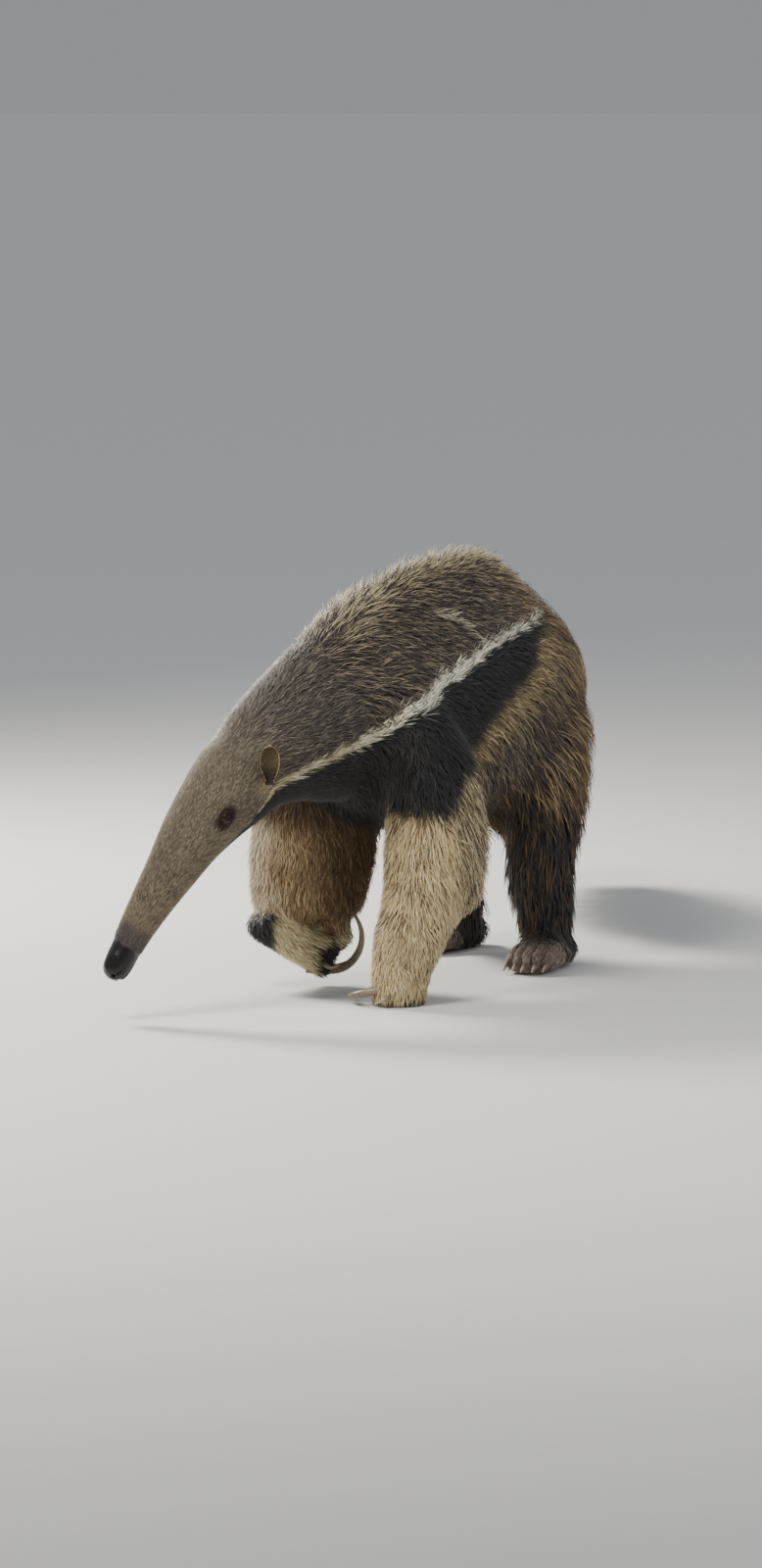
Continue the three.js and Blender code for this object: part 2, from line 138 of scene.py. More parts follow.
def oval(rel, *axes):
    """How far places are from a middle, 1 being on the oval whose axes are pairs of direction and radius."""
    return np.sqrt(sum((rel @ way / radius) ** 2 for way, radius in axes))


def lengths_to(row):
    """How far along a row of points each point is."""
    return np.append(0, np.cumsum(norm(np.diff(row, axis=0), axis=1)))


def sampled(at, keys, row):
    """A row of points, which lie at keys along it, sampled at other places."""
    return np.stack([np.interp(at, keys, row[:, c]) for c in range(3)], axis=1)


def level(y, line):
    """The height of a line drawn from the side, given as pairs, at places along the body."""
    return np.interp(y, *np.array(line).T)


def close_to(points, centres, reach):
    """True for points within reach of one of the centres."""
    return np.min([norm(points - c, axis=1) for c in centres], axis=0) < reach


def welded(node):
    """Points, outward normals and triangles of a CAD node."""
    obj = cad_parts[node]
    bm = bmesh.new()
    bm.from_mesh(obj.data)
    bm.transform(obj.matrix_world)
    bmesh.ops.remove_doubles(bm, verts=bm.verts, dist=1e-5)
    bmesh.ops.triangulate(bm, faces=bm.faces)
    bmesh.ops.recalc_face_normals(bm, faces=bm.faces)
    bm.normal_update()
    bm.verts.ensure_lookup_table()
    points = np.array([v.co for v in bm.verts])
    normals = np.array([v.normal for v in bm.verts])
    tris = [[v.index for v in f.verts] for f in bm.faces]
    bm.free()
    return points, normals, tris


def linked(name, data):
    """An object in the scene that shows data."""
    obj = bpy.data.objects.new(name, data)
    bpy.context.scene.collection.objects.link(obj)
    return obj


def new_object(name, points, faces):
    """A mesh object in the scene."""
    mesh = bpy.data.meshes.new(name)
    mesh.from_pydata([tuple(p) for p in points], [], [tuple(f) for f in faces])
    return linked(name, mesh)


def tube(centres, radii, sides, ups=None, flat=1.0):
    """Points and faces of a closed tube along centres, narrowed by flat across the direction of ups."""
    centres = np.array(centres, float)
    ahead = unit(np.gradient(centres, axis=0))
    up = np.array((0.0, 0.0, 1.0)) if ups is None else np.array(ups, float)
    side = unit(np.cross(ahead, up))
    high = np.cross(side, ahead)
    turn = np.linspace(0, 2 * math.pi, sides, endpoint=False)
    wide = side[:, None] * np.cos(turn)[None, :, None] * flat
    tall = high[:, None] * np.sin(turn)[None, :, None]
    rings = centres[:, None] + np.array(radii)[:, None, None] * (wide + tall)
    points = np.vstack([rings.reshape(-1, 3), centres[:1], centres[-1:] + ahead[-1:] * radii[-1]])
    first = len(centres) * sides
    faces = []
    for j in range(sides):
        k = (j + 1) % sides
        for i in range(len(centres) - 1):
            faces.append((i * sides + j, i * sides + k, (i + 1) * sides + k, (i + 1) * sides + j))
        faces.append((first, j, k)[::-1])
        faces.append((first + 1, first - sides + j, first - sides + k))
    return points, [f[::-1] for f in faces]


def remeshed(pieces):
    """One closed surface round closed pieces, as points and quads, without what is shut in inside it."""
    points, faces = [], []
    for p, f in pieces:
        start = sum(len(q) for q in points)
        points.append(p)
        faces += [tuple(start + i for i in t) for t in f]
    obj = new_object("remesh", np.vstack(points), faces)
    change = obj.modifiers.new("remesh", "REMESH")
    change.mode = "VOXEL"
    change.voxel_size = VOXEL
    result = obj.evaluated_get(bpy.context.evaluated_depsgraph_get()).to_mesh()
    count = len(result.vertices)
    points = np.empty(count * 3)
    result.vertices.foreach_get("co", points)
    points = points.reshape(-1, 3)
    quads = np.array([tuple(f.vertices) for f in result.polygons])
    bpy.data.objects.remove(obj, do_unlink=True)
    links = edges_of(quads)
    label = np.arange(count)
    while True:
        low = np.minimum(label[links[:, 0]], label[links[:, 1]])
        new = label.copy()
        np.minimum.at(new, links[:, 0], low)
        np.minimum.at(new, links[:, 1], low)
        new = new[new]
        if (new == label).all():
            break
        label = new
    keep = label == np.bincount(label).argmax()
    number = np.cumsum(keep) - 1
    return points[keep], number[quads[keep[quads[:, 0]]]]


def edges_of(faces):
    """Every edge once, as pairs of point numbers."""
    faces = np.array(faces)
    pairs = np.vstack([faces[:, (i, (i + 1) % faces.shape[1])] for i in range(faces.shape[1])])
    return np.unique(np.sort(pairs, axis=1), axis=0)


def spread(values, links, times, share=0.5):
    """Values at points moved towards the mean of their neighbours'."""
    count = len(values)
    degree = np.maximum(np.bincount(links.ravel(), minlength=count), 1)
    values = values.reshape(count, -1).astype(float)
    for _ in range(times):
        mean = np.empty_like(values)
        for c in range(values.shape[1]):
            mean[:, c] = (np.bincount(links[:, 0], values[links[:, 1], c], count)
                          + np.bincount(links[:, 1], values[links[:, 0], c], count)) / degree
        values = values + (mean - values) * share
    return values


def point_normals(points, faces):
    """Outward normals at the points of a mesh of quads."""
    a, b, c, d = (points[faces[:, i]] for i in range(4))
    across = np.cross(c - a, d - b)
    out = np.zeros_like(points)
    for i in range(4):
        for c in range(3):
            out[:, c] += np.bincount(faces[:, i], across[:, c], len(points))
    return unit(out)


def tree_of(points, faces):
    """A tree for finding the nearest place on a mesh."""
    return BVHTree.FromPolygons([tuple(p) for p in points], [tuple(int(i) for i in f) for f in faces])


def outline_and_skin():
    """The outline of the coat, the closed body inside it, and a way of naming the region of any point."""
    grown, spots, tris, names = {}, [], [], []
    for node in FLESH + ["eye_left", "eye_right"]:
        points, normals, faces = welded(node)
        grown[node] = (points + normals * SEAM, faces)
        if node not in TAIL_NODES + EAR_NODES and not node.startswith("eye_"):
            tris += [tuple(len(spots) + i for i in f) for f in faces]
            names += [region_of(node)] * len(faces)
            spots += list(points)
    parts = tree_of(spots, tris)
    bone = TAIL_BONE + SHIFT

    def named(points):
        found = np.array([names[parts.find_nearest(p)[2]] for p in points])
        found[points[:, 1] > bone[1, 1] + 0.015] = "tail_base"
        return found

    outline = remeshed(list(grown.values()))
    kept = [grown[n] for n in grown if n not in TAIL_NODES + EAR_NODES]
    body = remeshed(kept + [tube(bone, TAIL_RADIUS, 20)])
    return outline, body, named


RIDGE = np.array(((-0.489, 0.404), (-0.428, 0.465), (-0.352, 0.520), (-0.270, 0.572), (-0.175, 0.602),
                  (-0.060, 0.618), (0.070, 0.622), (0.190, 0.608), (0.300, 0.556), (0.372, 0.496)))


def crest_share(b):
    """1 along the ridge of the back, 0 on the flanks and the head."""
    drop = level(b[:, 1], RIDGE) - b[:, 2]
    return ramp(0.055, 0.018, drop) * ramp(-0.42, -0.26, b[:, 1]) * (b[:, 1] < 0.40)


CREST_DEPTH = 0.006  # how much deeper the coat is along the crest


HEAD_AXIS = unit(np.array((0.109, 0.172, 0.257)))
EYES_AT = np.array((-0.092, -0.559, 0.249))
NOSE_AT = np.array((-0.160, -0.661, 0.070))
NOSE_END = 0.014
EYE_RADIUS = 0.009
EYE_LONG = 0.0074
EYE_SHORT = 0.0050
LID = 0.0011
EYEBALL_SHARE = 0.985  # of EYE_RADIUS, so that the lids clear the eyeball
CORNEA_SWELL = 0.05  # as a share of the radius
PUPIL_EDGE, IRIS_EDGE = (19, 22), (38, 44)  # degrees from the middle of the eye
EYE_SUNK = 0.0016  # how far the skin behind the lids lies inside the eyeball
NOSTRIL = (0.0060, 0.0100, 0.0030)  # behind the tip, beside the middle and above it
NOSTRIL_DEPTH = 0.0062
CREASE_DEPTH = 0.0022  # of the nostrils' slits, the mouth and the lip
MOUTH_ANGLE = math.radians(52)  # of the mouth's two sides from straight down


def eye_frame(side):
    """Centre of an eyeball, its outward, lengthwise and upward directions."""
    centre = middle_of("eye_" + side)
    out = centre - EYES_AT - SHIFT
    out = unit(out - HEAD_AXIS * (out @ HEAD_AXIS))
    out = unit(out - 0.12 * HEAD_AXIS)
    along = unit(HEAD_AXIS - out * (HEAD_AXIS @ out))
    return centre, out, along, np.cross(out, along)


def sculpt_eye(points, side):
    """Opens the lids over an eyeball, with a swollen rim and a crease round them."""
    centre, out, along, high = eye_frame(side)
    rel = points - centre
    reach = oval(rel, (along, EYE_LONG), (high, EYE_SHORT))
    near = (norm(rel, axis=1) < 0.030) & (rel @ out > -0.006)
    held = EYE_RADIUS - EYE_SUNK + (LID + EYE_SUNK) * ramp(0.96, 1.10, reach)
    lid = centre + unit(rel) * held[:, None]
    share = ramp(2.9, 1.35, reach)[:, None]
    moved = points + (lid - points) * share
    swell = 0.0012 * np.exp(-((reach - 1.40) / 0.22) ** 2) - 0.0011 * np.exp(-((reach - 2.05) / 0.22) ** 2)
    moved += out * swell[:, None]
    points[near] = moved[near]


def muzzle_place(points):
    """Distance of points behind the tip of the nose and from the head's axis, their angle from straight
    down, and the directions to the side and down."""
    rel = points - SHIFT - NOSE_AT
    back = rel @ HEAD_AXIS
    off = rel - back[:, None] * HEAD_AXIS
    side = unit(np.cross(HEAD_AXIS, np.array((0, 0, 1.0))))
    down = np.cross(HEAD_AXIS, side)
    down = down if down[2] < 0 else -down
    return back + NOSE_END, norm(off, axis=1), np.arctan2(off @ side, off @ down), side, down


def sculpt_muzzle(points, normals):
    """Nostrils with their slits at the end of the nose, and the small mouth below them."""
    back, radius, angle, side, down = muzzle_place(points)
    tip = NOSE_AT + SHIFT - HEAD_AXIS * NOSE_END
    cut = np.zeros(len(points))
    for hand in (-1, 1):
        rel = points - (tip + HEAD_AXIS * NOSTRIL[0] + side * hand * NOSTRIL[1] - down * NOSTRIL[2])
        hole = oval(rel, (side, 0.0036), (down, 0.0042), (HEAD_AXIS, 0.009))
        cut += NOSTRIL_DEPTH * ramp(1.15, 0.35, hole)
        behind = rel @ HEAD_AXIS
        slit = ramp(1.4, 0.2, np.abs(rel @ down - 0.2 * behind) / 0.0013)
        slit *= ramp(0.0, 0.003, behind) * ramp(0.013, 0.008, behind)
        cut += CREASE_DEPTH * slit * (np.sign(angle) == hand) * (radius > 0.008)
    gape = np.abs(np.abs(angle) - MOUTH_ANGLE) * np.maximum(radius, 0.004)
    mouth = ramp(0.0026, 0.0006, gape)
    mouth *= ramp(0.005, 0.010, back) * ramp(0.062, 0.035, back)
    lip = ramp(0.0028, 0.0006, np.abs(back - 0.0065))
    lip *= ramp(math.radians(56), math.radians(50), np.abs(angle))
    cut += CREASE_DEPTH * (mouth + lip)
    points -= normals * (cut * (back < 0.08))[:, None]


FEET = (((0.106, 0.200), 8), ((-0.104, 0.334), -8))  # places of the hind feet and degrees they are turned
TOE_GROOVES = (-0.0225, -0.0075, 0.0075, 0.0225)


def sculpt_toes(points, normals):
    """Grooves between the toes of the hind feet."""
    for (x, y), turn in FEET:
        b = points - SHIFT - np.array((x, y, 0))
        c, s = math.cos(math.radians(turn)), math.sin(math.radians(turn))
        across, along = b[:, 0] * c + b[:, 1] * s, -b[:, 0] * s + b[:, 1] * c
        groove = np.zeros(len(points))
        for middle in TOE_GROOVES:
            groove = np.maximum(groove, ramp(0.0042, 0.0005, np.abs(across - middle)))
        groove *= ramp(-0.085, -0.110, along) * ramp(-0.165, -0.150, along) * (b[:, 2] < 0.06)
        groove *= ramp(0.006, 0.014, b[:, 2])
        points -= normals * (0.0045 * groove)[:, None]


EAR_LEAN = {"left": 0, "right": 52}  # degrees each ear is laid back
EAR_TURN = 36  # degrees its hollow faces outward
EAR_HALF = 0.0150
EAR_TALL = 0.054
EAR_THICK = 0.0022
EAR_CUP = 0.0085  # depth of its hollow
EAR_CURL = 0.0020  # how far its edges come forward
EAR_ROWS, EAR_ACROSS = 22, 19


def ear_shell(side):
    """A thin cupped ear on its CAD node's place: points, faces and which points are inside the cup."""
    turn = math.radians(EAR_TURN) * (1 if side == "left" else -1)
    lean = math.radians(EAR_LEAN[side])
    wide = np.array((math.cos(turn), math.sin(turn), 0.0))
    back = np.array((-math.sin(turn), math.cos(turn), 0.0))
    rise = back * math.sin(lean) + np.array((0, 0, math.cos(lean)))
    front = np.cross(wide, rise)
    middle = middle_of("ear_" + side)
    points, cup = [], []
    for layer in (0, 1):
        for v in np.arange(EAR_ROWS) / (EAR_ROWS - 1):
            base = 0.46 + 0.54 * float(ramp(0, 0.50, v))
            width = EAR_HALF * base * math.sqrt(max(1 - max((v - 0.60) / 0.402, 0) ** 2.6, 0.0004))
            for j in range(EAR_ACROSS):
                u = -1 + 2 * j / (EAR_ACROSS - 1)
                hollow = EAR_CUP * (1 - u * u) * (0.45 + 0.55 * math.sin(math.pi * v ** 0.7))
                thick = EAR_THICK * math.sqrt(max(1 - u ** 6, 0)) * layer
                curl = EAR_CURL * u * u
                ahead = curl + 0.004 - hollow - thick - 0.004 * (v - 0.4)
                points.append(middle + wide * (u * width) + rise * (v - 0.5) * EAR_TALL + front * ahead)
                cup.append(layer == 0)
    size = EAR_ROWS * EAR_ACROSS
    grid = np.arange(size).reshape(EAR_ROWS, EAR_ACROSS)
    faces = []
    for a in grid[:-1, :-1].ravel():
        quad = (a, a + 1, a + EAR_ACROSS + 1, a + EAR_ACROSS)
        faces += [quad, tuple(size + q for q in quad[::-1])]
    rim = np.concatenate([grid[::-1, 0], grid[0, 1:], grid[1:, -1], grid[-1, -2::-1]])
    faces += [(b, a, size + a, size + b) for a, b in zip(rim[:-1], rim[1:])]
    return np.array(points), faces, np.array(cup)


def rest_on_floor(points, label):
    """Lowers each standing foot until its sole lies on the floor."""
    for foot in ("foreleg_left_hand", "left foot", "right foot"):
        part = label == foot.split()[-1]
        if foot.endswith("foot"):
            part &= (points[:, 0] - SHIFT[0] > 0) == foot.startswith("left")
        gap = points[part, 2].min()
        low = part & (points[:, 2] < FOOT_HEIGHT)
        points[low, 2] -= gap * (1 - points[low, 2] / FOOT_HEIGHT) / (1 - gap / FOOT_HEIGHT)
    points[:, 2] = np.maximum(points[:, 2], FLOOR_GAP)


def fringe_share(b, label):
    """1 on the long hair behind the planted foreleg."""
    leg = np.char.startswith(label.astype(str), "foreleg_left")
    return ramp(-0.235, -0.185, b[:, 1]) * (b[:, 2] < 0.335) * leg


def coat_depth(points, links, label):
    """How deep the coat is at points of its outline."""
    b = points - SHIFT
    depth = spread(np.array([REGIONS[n][0] for n in label]), links, 25)[:, 0]
    depth += CREST_DEPTH * spread(crest_share(b), links, 10)[:, 0]
    rear = fringe_share(b, label) * 0.3 * np.clip(b[:, 1] + 0.205, 0, 0.06)
    return depth + spread(rear, links, 8)[:, 0]


def refined(points, faces, label):
    """The skin with finer faces on the head and feet and the finest round the eyes, and its normals."""
    coarse = new_object("coarse", points, faces)
    bm = bmesh.new()
    bm.from_mesh(coarse.data)
    bpy.data.objects.remove(coarse, do_unlink=True)
    eyes = [eye_frame(side)[0] for side in SIDES]
    wanted_at = (lambda at: np.isin(label, ("head", "nose", "foot")),
                 lambda at: close_to(at, eyes, 0.026) | close_to(at, [NOSE_AT + SHIFT], 0.050),
                 lambda at: close_to(at, eyes, 0.015))
    for wanted in wanted_at:
        before = len(bm.verts)
        chosen = wanted(np.array([v.co for v in bm.verts]))
        edges = [e for e in bm.edges if chosen[e.verts[0].index] and chosen[e.verts[1].index]]
        bmesh.ops.subdivide_edges(bm, edges=edges, cuts=1, use_grid_fill=True)
        bm.verts.index_update()
        pairs = np.array([(e.verts[0].index, e.verts[1].index) for e in bm.edges])
        at = np.array([v.co for v in bm.verts])
        fresh = spread(np.where(np.arange(len(at)) >= before, 1.0, 0.0), pairs, 2)
        at += (spread(at, pairs, 3) - at) * np.clip(fresh * 1.5, 0, 1)
        for v, p in zip(bm.verts, at):
            v.co = p
    bmesh.ops.triangulate(bm, faces=[f for f in bm.faces if len(f.verts) > 4])
    bm.normal_update()
    points = np.array([v.co for v in bm.verts])
    normals = np.array([v.normal for v in bm.verts])
    faces = [tuple(v.index for v in f.verts) for f in bm.faces]
    bm.free()
    return points, faces, normals


def make_skin():
    """The skin object, its points, each one's region and share of an ear's cup, and the coat's outline."""
    outline, (points, faces), named = outline_and_skin()
    links = edges_of(faces)
    label = named(points)
    depth = coat_depth(points, links, label)
    ease = spread(np.where(label == "nose", 0.35, np.where(label == "head", 0.7, 1.0)), links, 6)
    for _ in range(5):
        points = points - point_normals(points, faces) * depth[:, None] / 5
        points += (spread(points, links, 3) - points) * ease
    x, y, z = (points - SHIFT).T
    shoulder = ramp(0.33, 0.38, z) * ramp(-0.46, -0.40, y) * ramp(-0.08, -0.14, y)
    shoulder *= ramp(0.03, 0.06, np.abs(x))
    points += (spread(points, links, 70) - points) * shoulder[:, None]
    points, faces, normals = refined(points, faces, label)
    sculpt_muzzle(points, normals)
    sculpt_toes(points, normals)
    for side in SIDES:
        sculpt_eye(points, side)
    label = named(points)
    cup = np.zeros(len(points))
    for side in SIDES:
        more, quads, inside = ear_shell(side)
        faces += [tuple(len(points) + i for i in q) for q in quads]
        points = np.vstack([points, more])
        label = np.append(label, ["ear"] * len(more))
        cup = np.append(cup, inside)
    rest_on_floor(points, label)
    return new_object("skin", points, faces), points, label, cup, outline


def rgb(colour):
    """A colour given as sRGB from 0 to 255, as linear light."""
    c = np.array(colour) / 255
    return np.where(c <= 0.04045, c / 12.92, ((c + 0.055) / 1.055) ** 2.4)


BLACK, WHITE, YELLOWED = (17, 15, 15), (226, 220, 196), (206, 194, 146)
# lines drawn from the side, as places along the body and heights, and the pale stripe's half width
STRIPE = np.array(((-0.580, 0.170), (-0.529, 0.262), (-0.502, 0.322), (-0.469, 0.338), (-0.437, 0.349),
                   (-0.381, 0.369), (-0.320, 0.390), (-0.302, 0.414), (-0.214, 0.437), (-0.137, 0.458),
                   (-0.055, 0.479), (0.026, 0.492), (0.106, 0.503), (0.185, 0.513), (0.260, 0.515)))
STRIPE_HALF = ((-0.535, 0.000), (-0.515, 0.0025), (-0.490, 0.0035), (-0.437, 0.0045), (-0.381, 0.0065),
               (-0.302, 0.0085), (-0.137, 0.0085), (-0.055, 0.0075), (0.026, 0.0055), (0.106, 0.004),
               (0.185, 0.002), (0.230, 0.0))
BAND_LOW = ((-0.310, 0.272), (-0.270, 0.282), (-0.246, 0.324), (-0.116, 0.345), (-0.092, 0.376),
            (-0.039, 0.409), (0.031, 0.432), (0.065, 0.450), (0.095, 0.473), (0.200, 0.513), (0.26, 0.60))
BRANCH = np.array(((-0.055, 0.479), (-0.059, 0.499), (-0.070, 0.513), (-0.084, 0.525), (-0.101, 0.533),
                   (-0.130, 0.541)))
VIEW_RIGHT = np.array((math.cos(AZIMUTH), math.sin(AZIMUTH), 0.0))
VIEW_BACK = np.array((math.sin(AZIMUTH), -math.cos(AZIMUTH), 0.0))
PALM = np.array((-0.064, -0.183, 0.087))


def pad_share(b):
    """1 on the bare pad of the folded hand."""
    rel = b - PALM
    size = np.sqrt(((rel @ VIEW_RIGHT + 0.006) / 0.018) ** 2 + (rel[:, 2] / 0.009) ** 2)
    return ramp(1.15, 0.85, size) * (rel @ VIEW_BACK > 0)


def from_branch(b):
    """Distance of points from the pale branch of the stripe, seen from the side."""
    best = np.full(len(b), 9.0)
    for start, end in zip(BRANCH[:-1], BRANCH[1:]):
        run = end - start
        t = np.clip(((b[:, 1:] - start) @ run) / (run @ run), 0, 1)
        best = np.minimum(best, norm(b[:, 1:] - start - t[:, None] * run, axis=1))
    return best


def on_left(b):
    """Points of the right half moved to their places on the left half, where the markings are drawn."""
    between = unit(middle_of("eye_left") - middle_of("eye_right"))
    past = np.minimum((b - EYES_AT) @ between, 0)[:, None]
    head = b - 2 * past * between
    body = np.stack([np.abs(b[:, 0]), b[:, 1], b[:, 2]], axis=1)
    share = ramp(-0.50, -0.36, b[:, 1])[:, None]
    return head * (1 - share) + body * share


def wave(p, size, seed):
    """Smooth noise from -1 to 1 with lumps of about size."""
    pick = np.random.default_rng(seed)
    total = np.zeros(len(p))
    for _ in range(6):
        way = unit(pick.normal(size=3)) * 2 * math.pi / size * pick.uniform(0.6, 1.5)
        total += np.sin(p @ way + pick.uniform(0, 2 * math.pi))
    return total / 3


def mark_body(paint, on, b):
    """The grizzled back, paler crest and rump, and brown hind legs."""
    y, z = b[:, 1:].T
    head = on("head", "nose")
    forward = (z - NOSE_AT[2]) / 0.26
    paint(head | on("neck"), (102, 91, 75), (158, 145, 118), 0.42)
    paint(head * ramp(0.62, 0.20, forward), (112, 98, 80), (156, 142, 116), 0.36)
    paint((head | on("neck")) * ramp(-0.575, -0.455, y), (62, 54, 49), (132, 120, 103), 0.26)
    paint(ramp(0.02, 0.22, y) * on("trunk"), (84, 66, 45), (168, 142, 96), 0.40)
    paint(on("trunk") * ramp(0.33, 0.28, z), (52, 41, 31), (120, 96, 62), 0.25)
    paint(on("thigh"), (80, 61, 41), (166, 138, 94), 0.36)
    paint(on("thigh") * ramp(0.33, 0.20, z), (58, 44, 32), (140, 110, 72), 0.28)
    paint(on("shank"), (34, 27, 23), (98, 74, 48), 0.24)
    paint(on("foot"), (44, 36, 31), (92, 74, 58), 0.30)
    paint(on("foot") * ramp(0.050, 0.034, z), (138, 118, 106), (160, 142, 126), 0.30)
    paint(on("tail_base"), (62, 48, 35), (140, 114, 74), 0.34)
    paint(crest_share(b) * ~head, (52, 42, 33), (198, 181, 140), 0.75)


def mark_forelegs(paint, on, b):
    """The pale forelegs, the left one grizzled behind, and the dark wrist and bare pad of the right hand."""
    x, _, z = b.T
    lower = ramp(0.36, 0.32, z)
    left = on("foreleg_left_upper", "foreleg_left_forearm", "foreleg_left_hand") * lower
    paint(left, (188, 166, 120), (222, 204, 160), 0.45)
    rear = b @ VIEW_RIGHT - 0.25 * (0.25 - z) + 0.008 * wave(b, 0.05, 5)
    rear = ramp(0.010, 0.030, rear) * ramp(0.10, 0.14, z)
    paint(left * rear, (88, 72, 53), (204, 186, 146), 0.60)
    paint(left * (1 - 0.9 * np.abs(wave(b, 0.07, 8)) > 0.86), (120, 98, 66))
    paint(left * ramp(0.016, 0.008, z), (60, 48, 40), (100, 84, 66), 0.25)
    right = on("foreleg_right_upper", "foreleg_right_forearm", "foreleg_right_hand") * lower
    inner = ramp(-0.090, -0.150, x + 0.016 * wave(b, 0.03, 3))
    paint(right, (128, 102, 70), (190, 168, 126), 0.42)
    paint(0.85 * right * inner, (196, 182, 148), (230, 220, 196), 0.5)
    # painted shade: the right forearm turns darker brown towards the body's middle, the side that lies in
    # shade
    paint(right * ramp(-0.080, -0.030, x), (88, 68, 46), (150, 124, 84), 0.30)
    paint(right * ramp(0.225, 0.275, z), (66, 48, 34), (120, 94, 60), 0.2)
    hand = on("foreleg_right_hand")
    sideways = b @ VIEW_RIGHT + 0.004 * wave(b, 0.018, 6)
    paint(hand, (186, 172, 128), (224, 212, 176), 0.5)
    paint(hand * ramp(-0.224, -0.232, sideways), BLACK, (70, 62, 52), 0.10)
    mottled = 0.85 * ramp(0.0, 0.3, wave(b, 0.016, 7))
    paint(hand * mottled * ramp(-0.160, -0.150, sideways), (40, 34, 28))
    claw_root = ramp(-0.172, -0.164, sideways) * ramp(0.068, 0.060, z)
    paint(hand * claw_root, BLACK, (48, 42, 38), 0.06)
    paint(hand * pad_share(b), (142, 96, 76), (142, 96, 76), 0.0)


def mark_stripe(paint, on, b):
    """The black band from the throat over the shoulder, and the pale stripe above it with its branch."""
    body = on("trunk", "neck", "head", "nose")
    furred = body | on(*(name for name in REGIONS if name.startswith("foreleg")))
    _, y, z = on_left(b).T
    high = level(y, STRIPE)
    low = np.where(body & (y < -0.17) & (z < 0.36), -1, level(y, BAND_LOW))
    ragged = 0.003 * wave(b, 0.02, 4)
    band = ramp(high + 0.004, high - 0.002, z) * ramp(low - 0.006, low + 0.006, z + ragged)
    band *= ramp(-0.572, -0.545, y) * ramp(0.23, 0.16, y)
    paint(band * furred, BLACK, (62, 56, 50), 0.07)
    edge = ramp(0.030, 0.004, np.abs(z - low + 0.016))
    edge *= ramp(-0.23, -0.15, y) * ramp(0.2, 0.1, y)
    paint(edge * body * 0.6, (150, 126, 84), (205, 184, 132), 0.55)
    half = level(y, STRIPE_HALF)
    line = WHITE + np.subtract(YELLOWED, WHITE) * ramp(-0.28, -0.42, y)[:, None]
    stripe = ramp(half + 0.0015, half - 0.0015, np.abs(z - high) + ragged) * (half > 0.0005)
    paint(stripe * furred, line, (240, 234, 212), 0.5)
    branch = ramp(0.0045, 0.0015, from_branch(b)) * (b[:, 0] > 0)
    paint(0.75 * branch * body, (190, 176, 146), WHITE, 0.5)


def mark_head(paint, on, points, cup):
    """The ears and their dark hollows, the pale hair behind them, the eyes' rims and the dark muzzle."""
    b = points - SHIFT
    head = on("head", "nose")
    paint(on("ear"), (182, 160, 112), (214, 196, 150), 0.4)
    paint(on("ear") * cup, (92, 76, 54), (150, 130, 92), 0.3)
    behind = np.zeros(len(points))
    for side in SIDES:
        low, high = np.array(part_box("ear_" + side))
        deep = ramp(0.6, 0.2, (points[:, 2] - low[2]) / (high[2] - low[2]))
        paint(on("ear") * cup * deep * (np.abs(points[:, 0] - low[0]) < 0.05), (46, 31, 25))
        foot = np.append((low + high)[:2] / 2, low[2]) + (0, 0.004, -0.012)
        behind = np.maximum(behind, ramp(0.028, 0.008, norm(points - foot, axis=1)))
        centre, _, lengthwise, up = eye_frame(side)
        ring = oval(points - centre + lengthwise * 0.0085, (lengthwise, 0.0140), (up, 0.0110))
        paint(head * ramp(1.30, 0.85, ring), (56, 38, 31), (74, 50, 42), 0.1)
        paint(head * ramp(0.88, 0.62, ring), (52, 22, 20), (60, 36, 30), 0.1)
    paint(0.55 * behind * (head | on("neck")), (176, 156, 116), (214, 198, 160), 0.5)
    reach = muzzle_place(points)[0]
    spots = ramp(0.55, 0.80, wave(b, 0.016, 12)) * ramp(0.20, 0.12, reach)
    paint(head * spots * 0.7, (52, 42, 36))
    paint(head * ramp(0.084, 0.058, reach), (80, 71, 68), (108, 96, 90), 0.2)
    paint(head * ramp(0.052, 0.045, reach + 0.002 * wave(b, 0.02, 9)), (9, 8, 9), (30, 28, 32), 0.0)


def markings(points, label, cup):
    """Colour at the roots, colour of the pale hairs, and how many there are, at points of the skin."""
    b = points - SHIFT
    base = np.tile(rgb((56, 48, 42)), (len(b), 1))
    pale = np.tile(rgb((138, 123, 100)), (len(b), 1))
    many = np.full(len(b), 0.28)

    def paint(where, colour, tips=None, share=None):
        where = np.asarray(where, float)[:, None]
        base[:] = base + (rgb(colour) - base) * where
        if tips is not None:
            pale[:] = pale + (rgb(tips) - pale) * where
            many[:] = many + (share - many) * where[:, 0]

    def on(*names):
        return np.isin(label, names)

    mark_body(paint, on, b)
    mark_forelegs(paint, on, b)
    mark_stripe(paint, on, b)
    mark_head(paint, on, points, cup)
    return base, pale, many


def nose_share(points):
    """1 on the bare wet nose and 0 on the haired muzzle."""
    return ramp(0.052, 0.046, muzzle_place(points)[0])


def settle(rows, tree, clearance, inward):
    """Moves points to at least clearance outside a surface, or at most that far if inward is true."""
    flat = rows.reshape(-1, 3)
    for i, p in enumerate(flat):
        place, normal, _, _ = tree.find_nearest(p)
        if place is None:
            continue
        normal = np.array(normal)
        rise = (p - place) @ normal
        limit = clearance[i] if inward else clearance
        if (rise > limit) if inward else (rise < limit):
            flat[i] = p + normal * (limit - rise)
    return flat.reshape(rows.shape)


LOCK_CLEARANCE = 0.0012  # of a lock over the skin


def lock_paths(root, normal, lie, length, lift, droop, steps):
    """Middle lines of locks that rise from the skin and bend back along it."""
    rows = [root - normal * 0.001]
    for k in range(steps):
        t = (k + 0.5) / steps
        angle = (lift * (1.0 - 0.75 * t))[:, None]
        way = lie * np.cos(angle) + normal * np.sin(angle)
        way = unit(way + np.array((0, 0, -1.0)) * (droop * t)[:, None])
        rows.append(rows[-1] + way * (length / steps)[:, None])
    return np.stack(rows, axis=1)


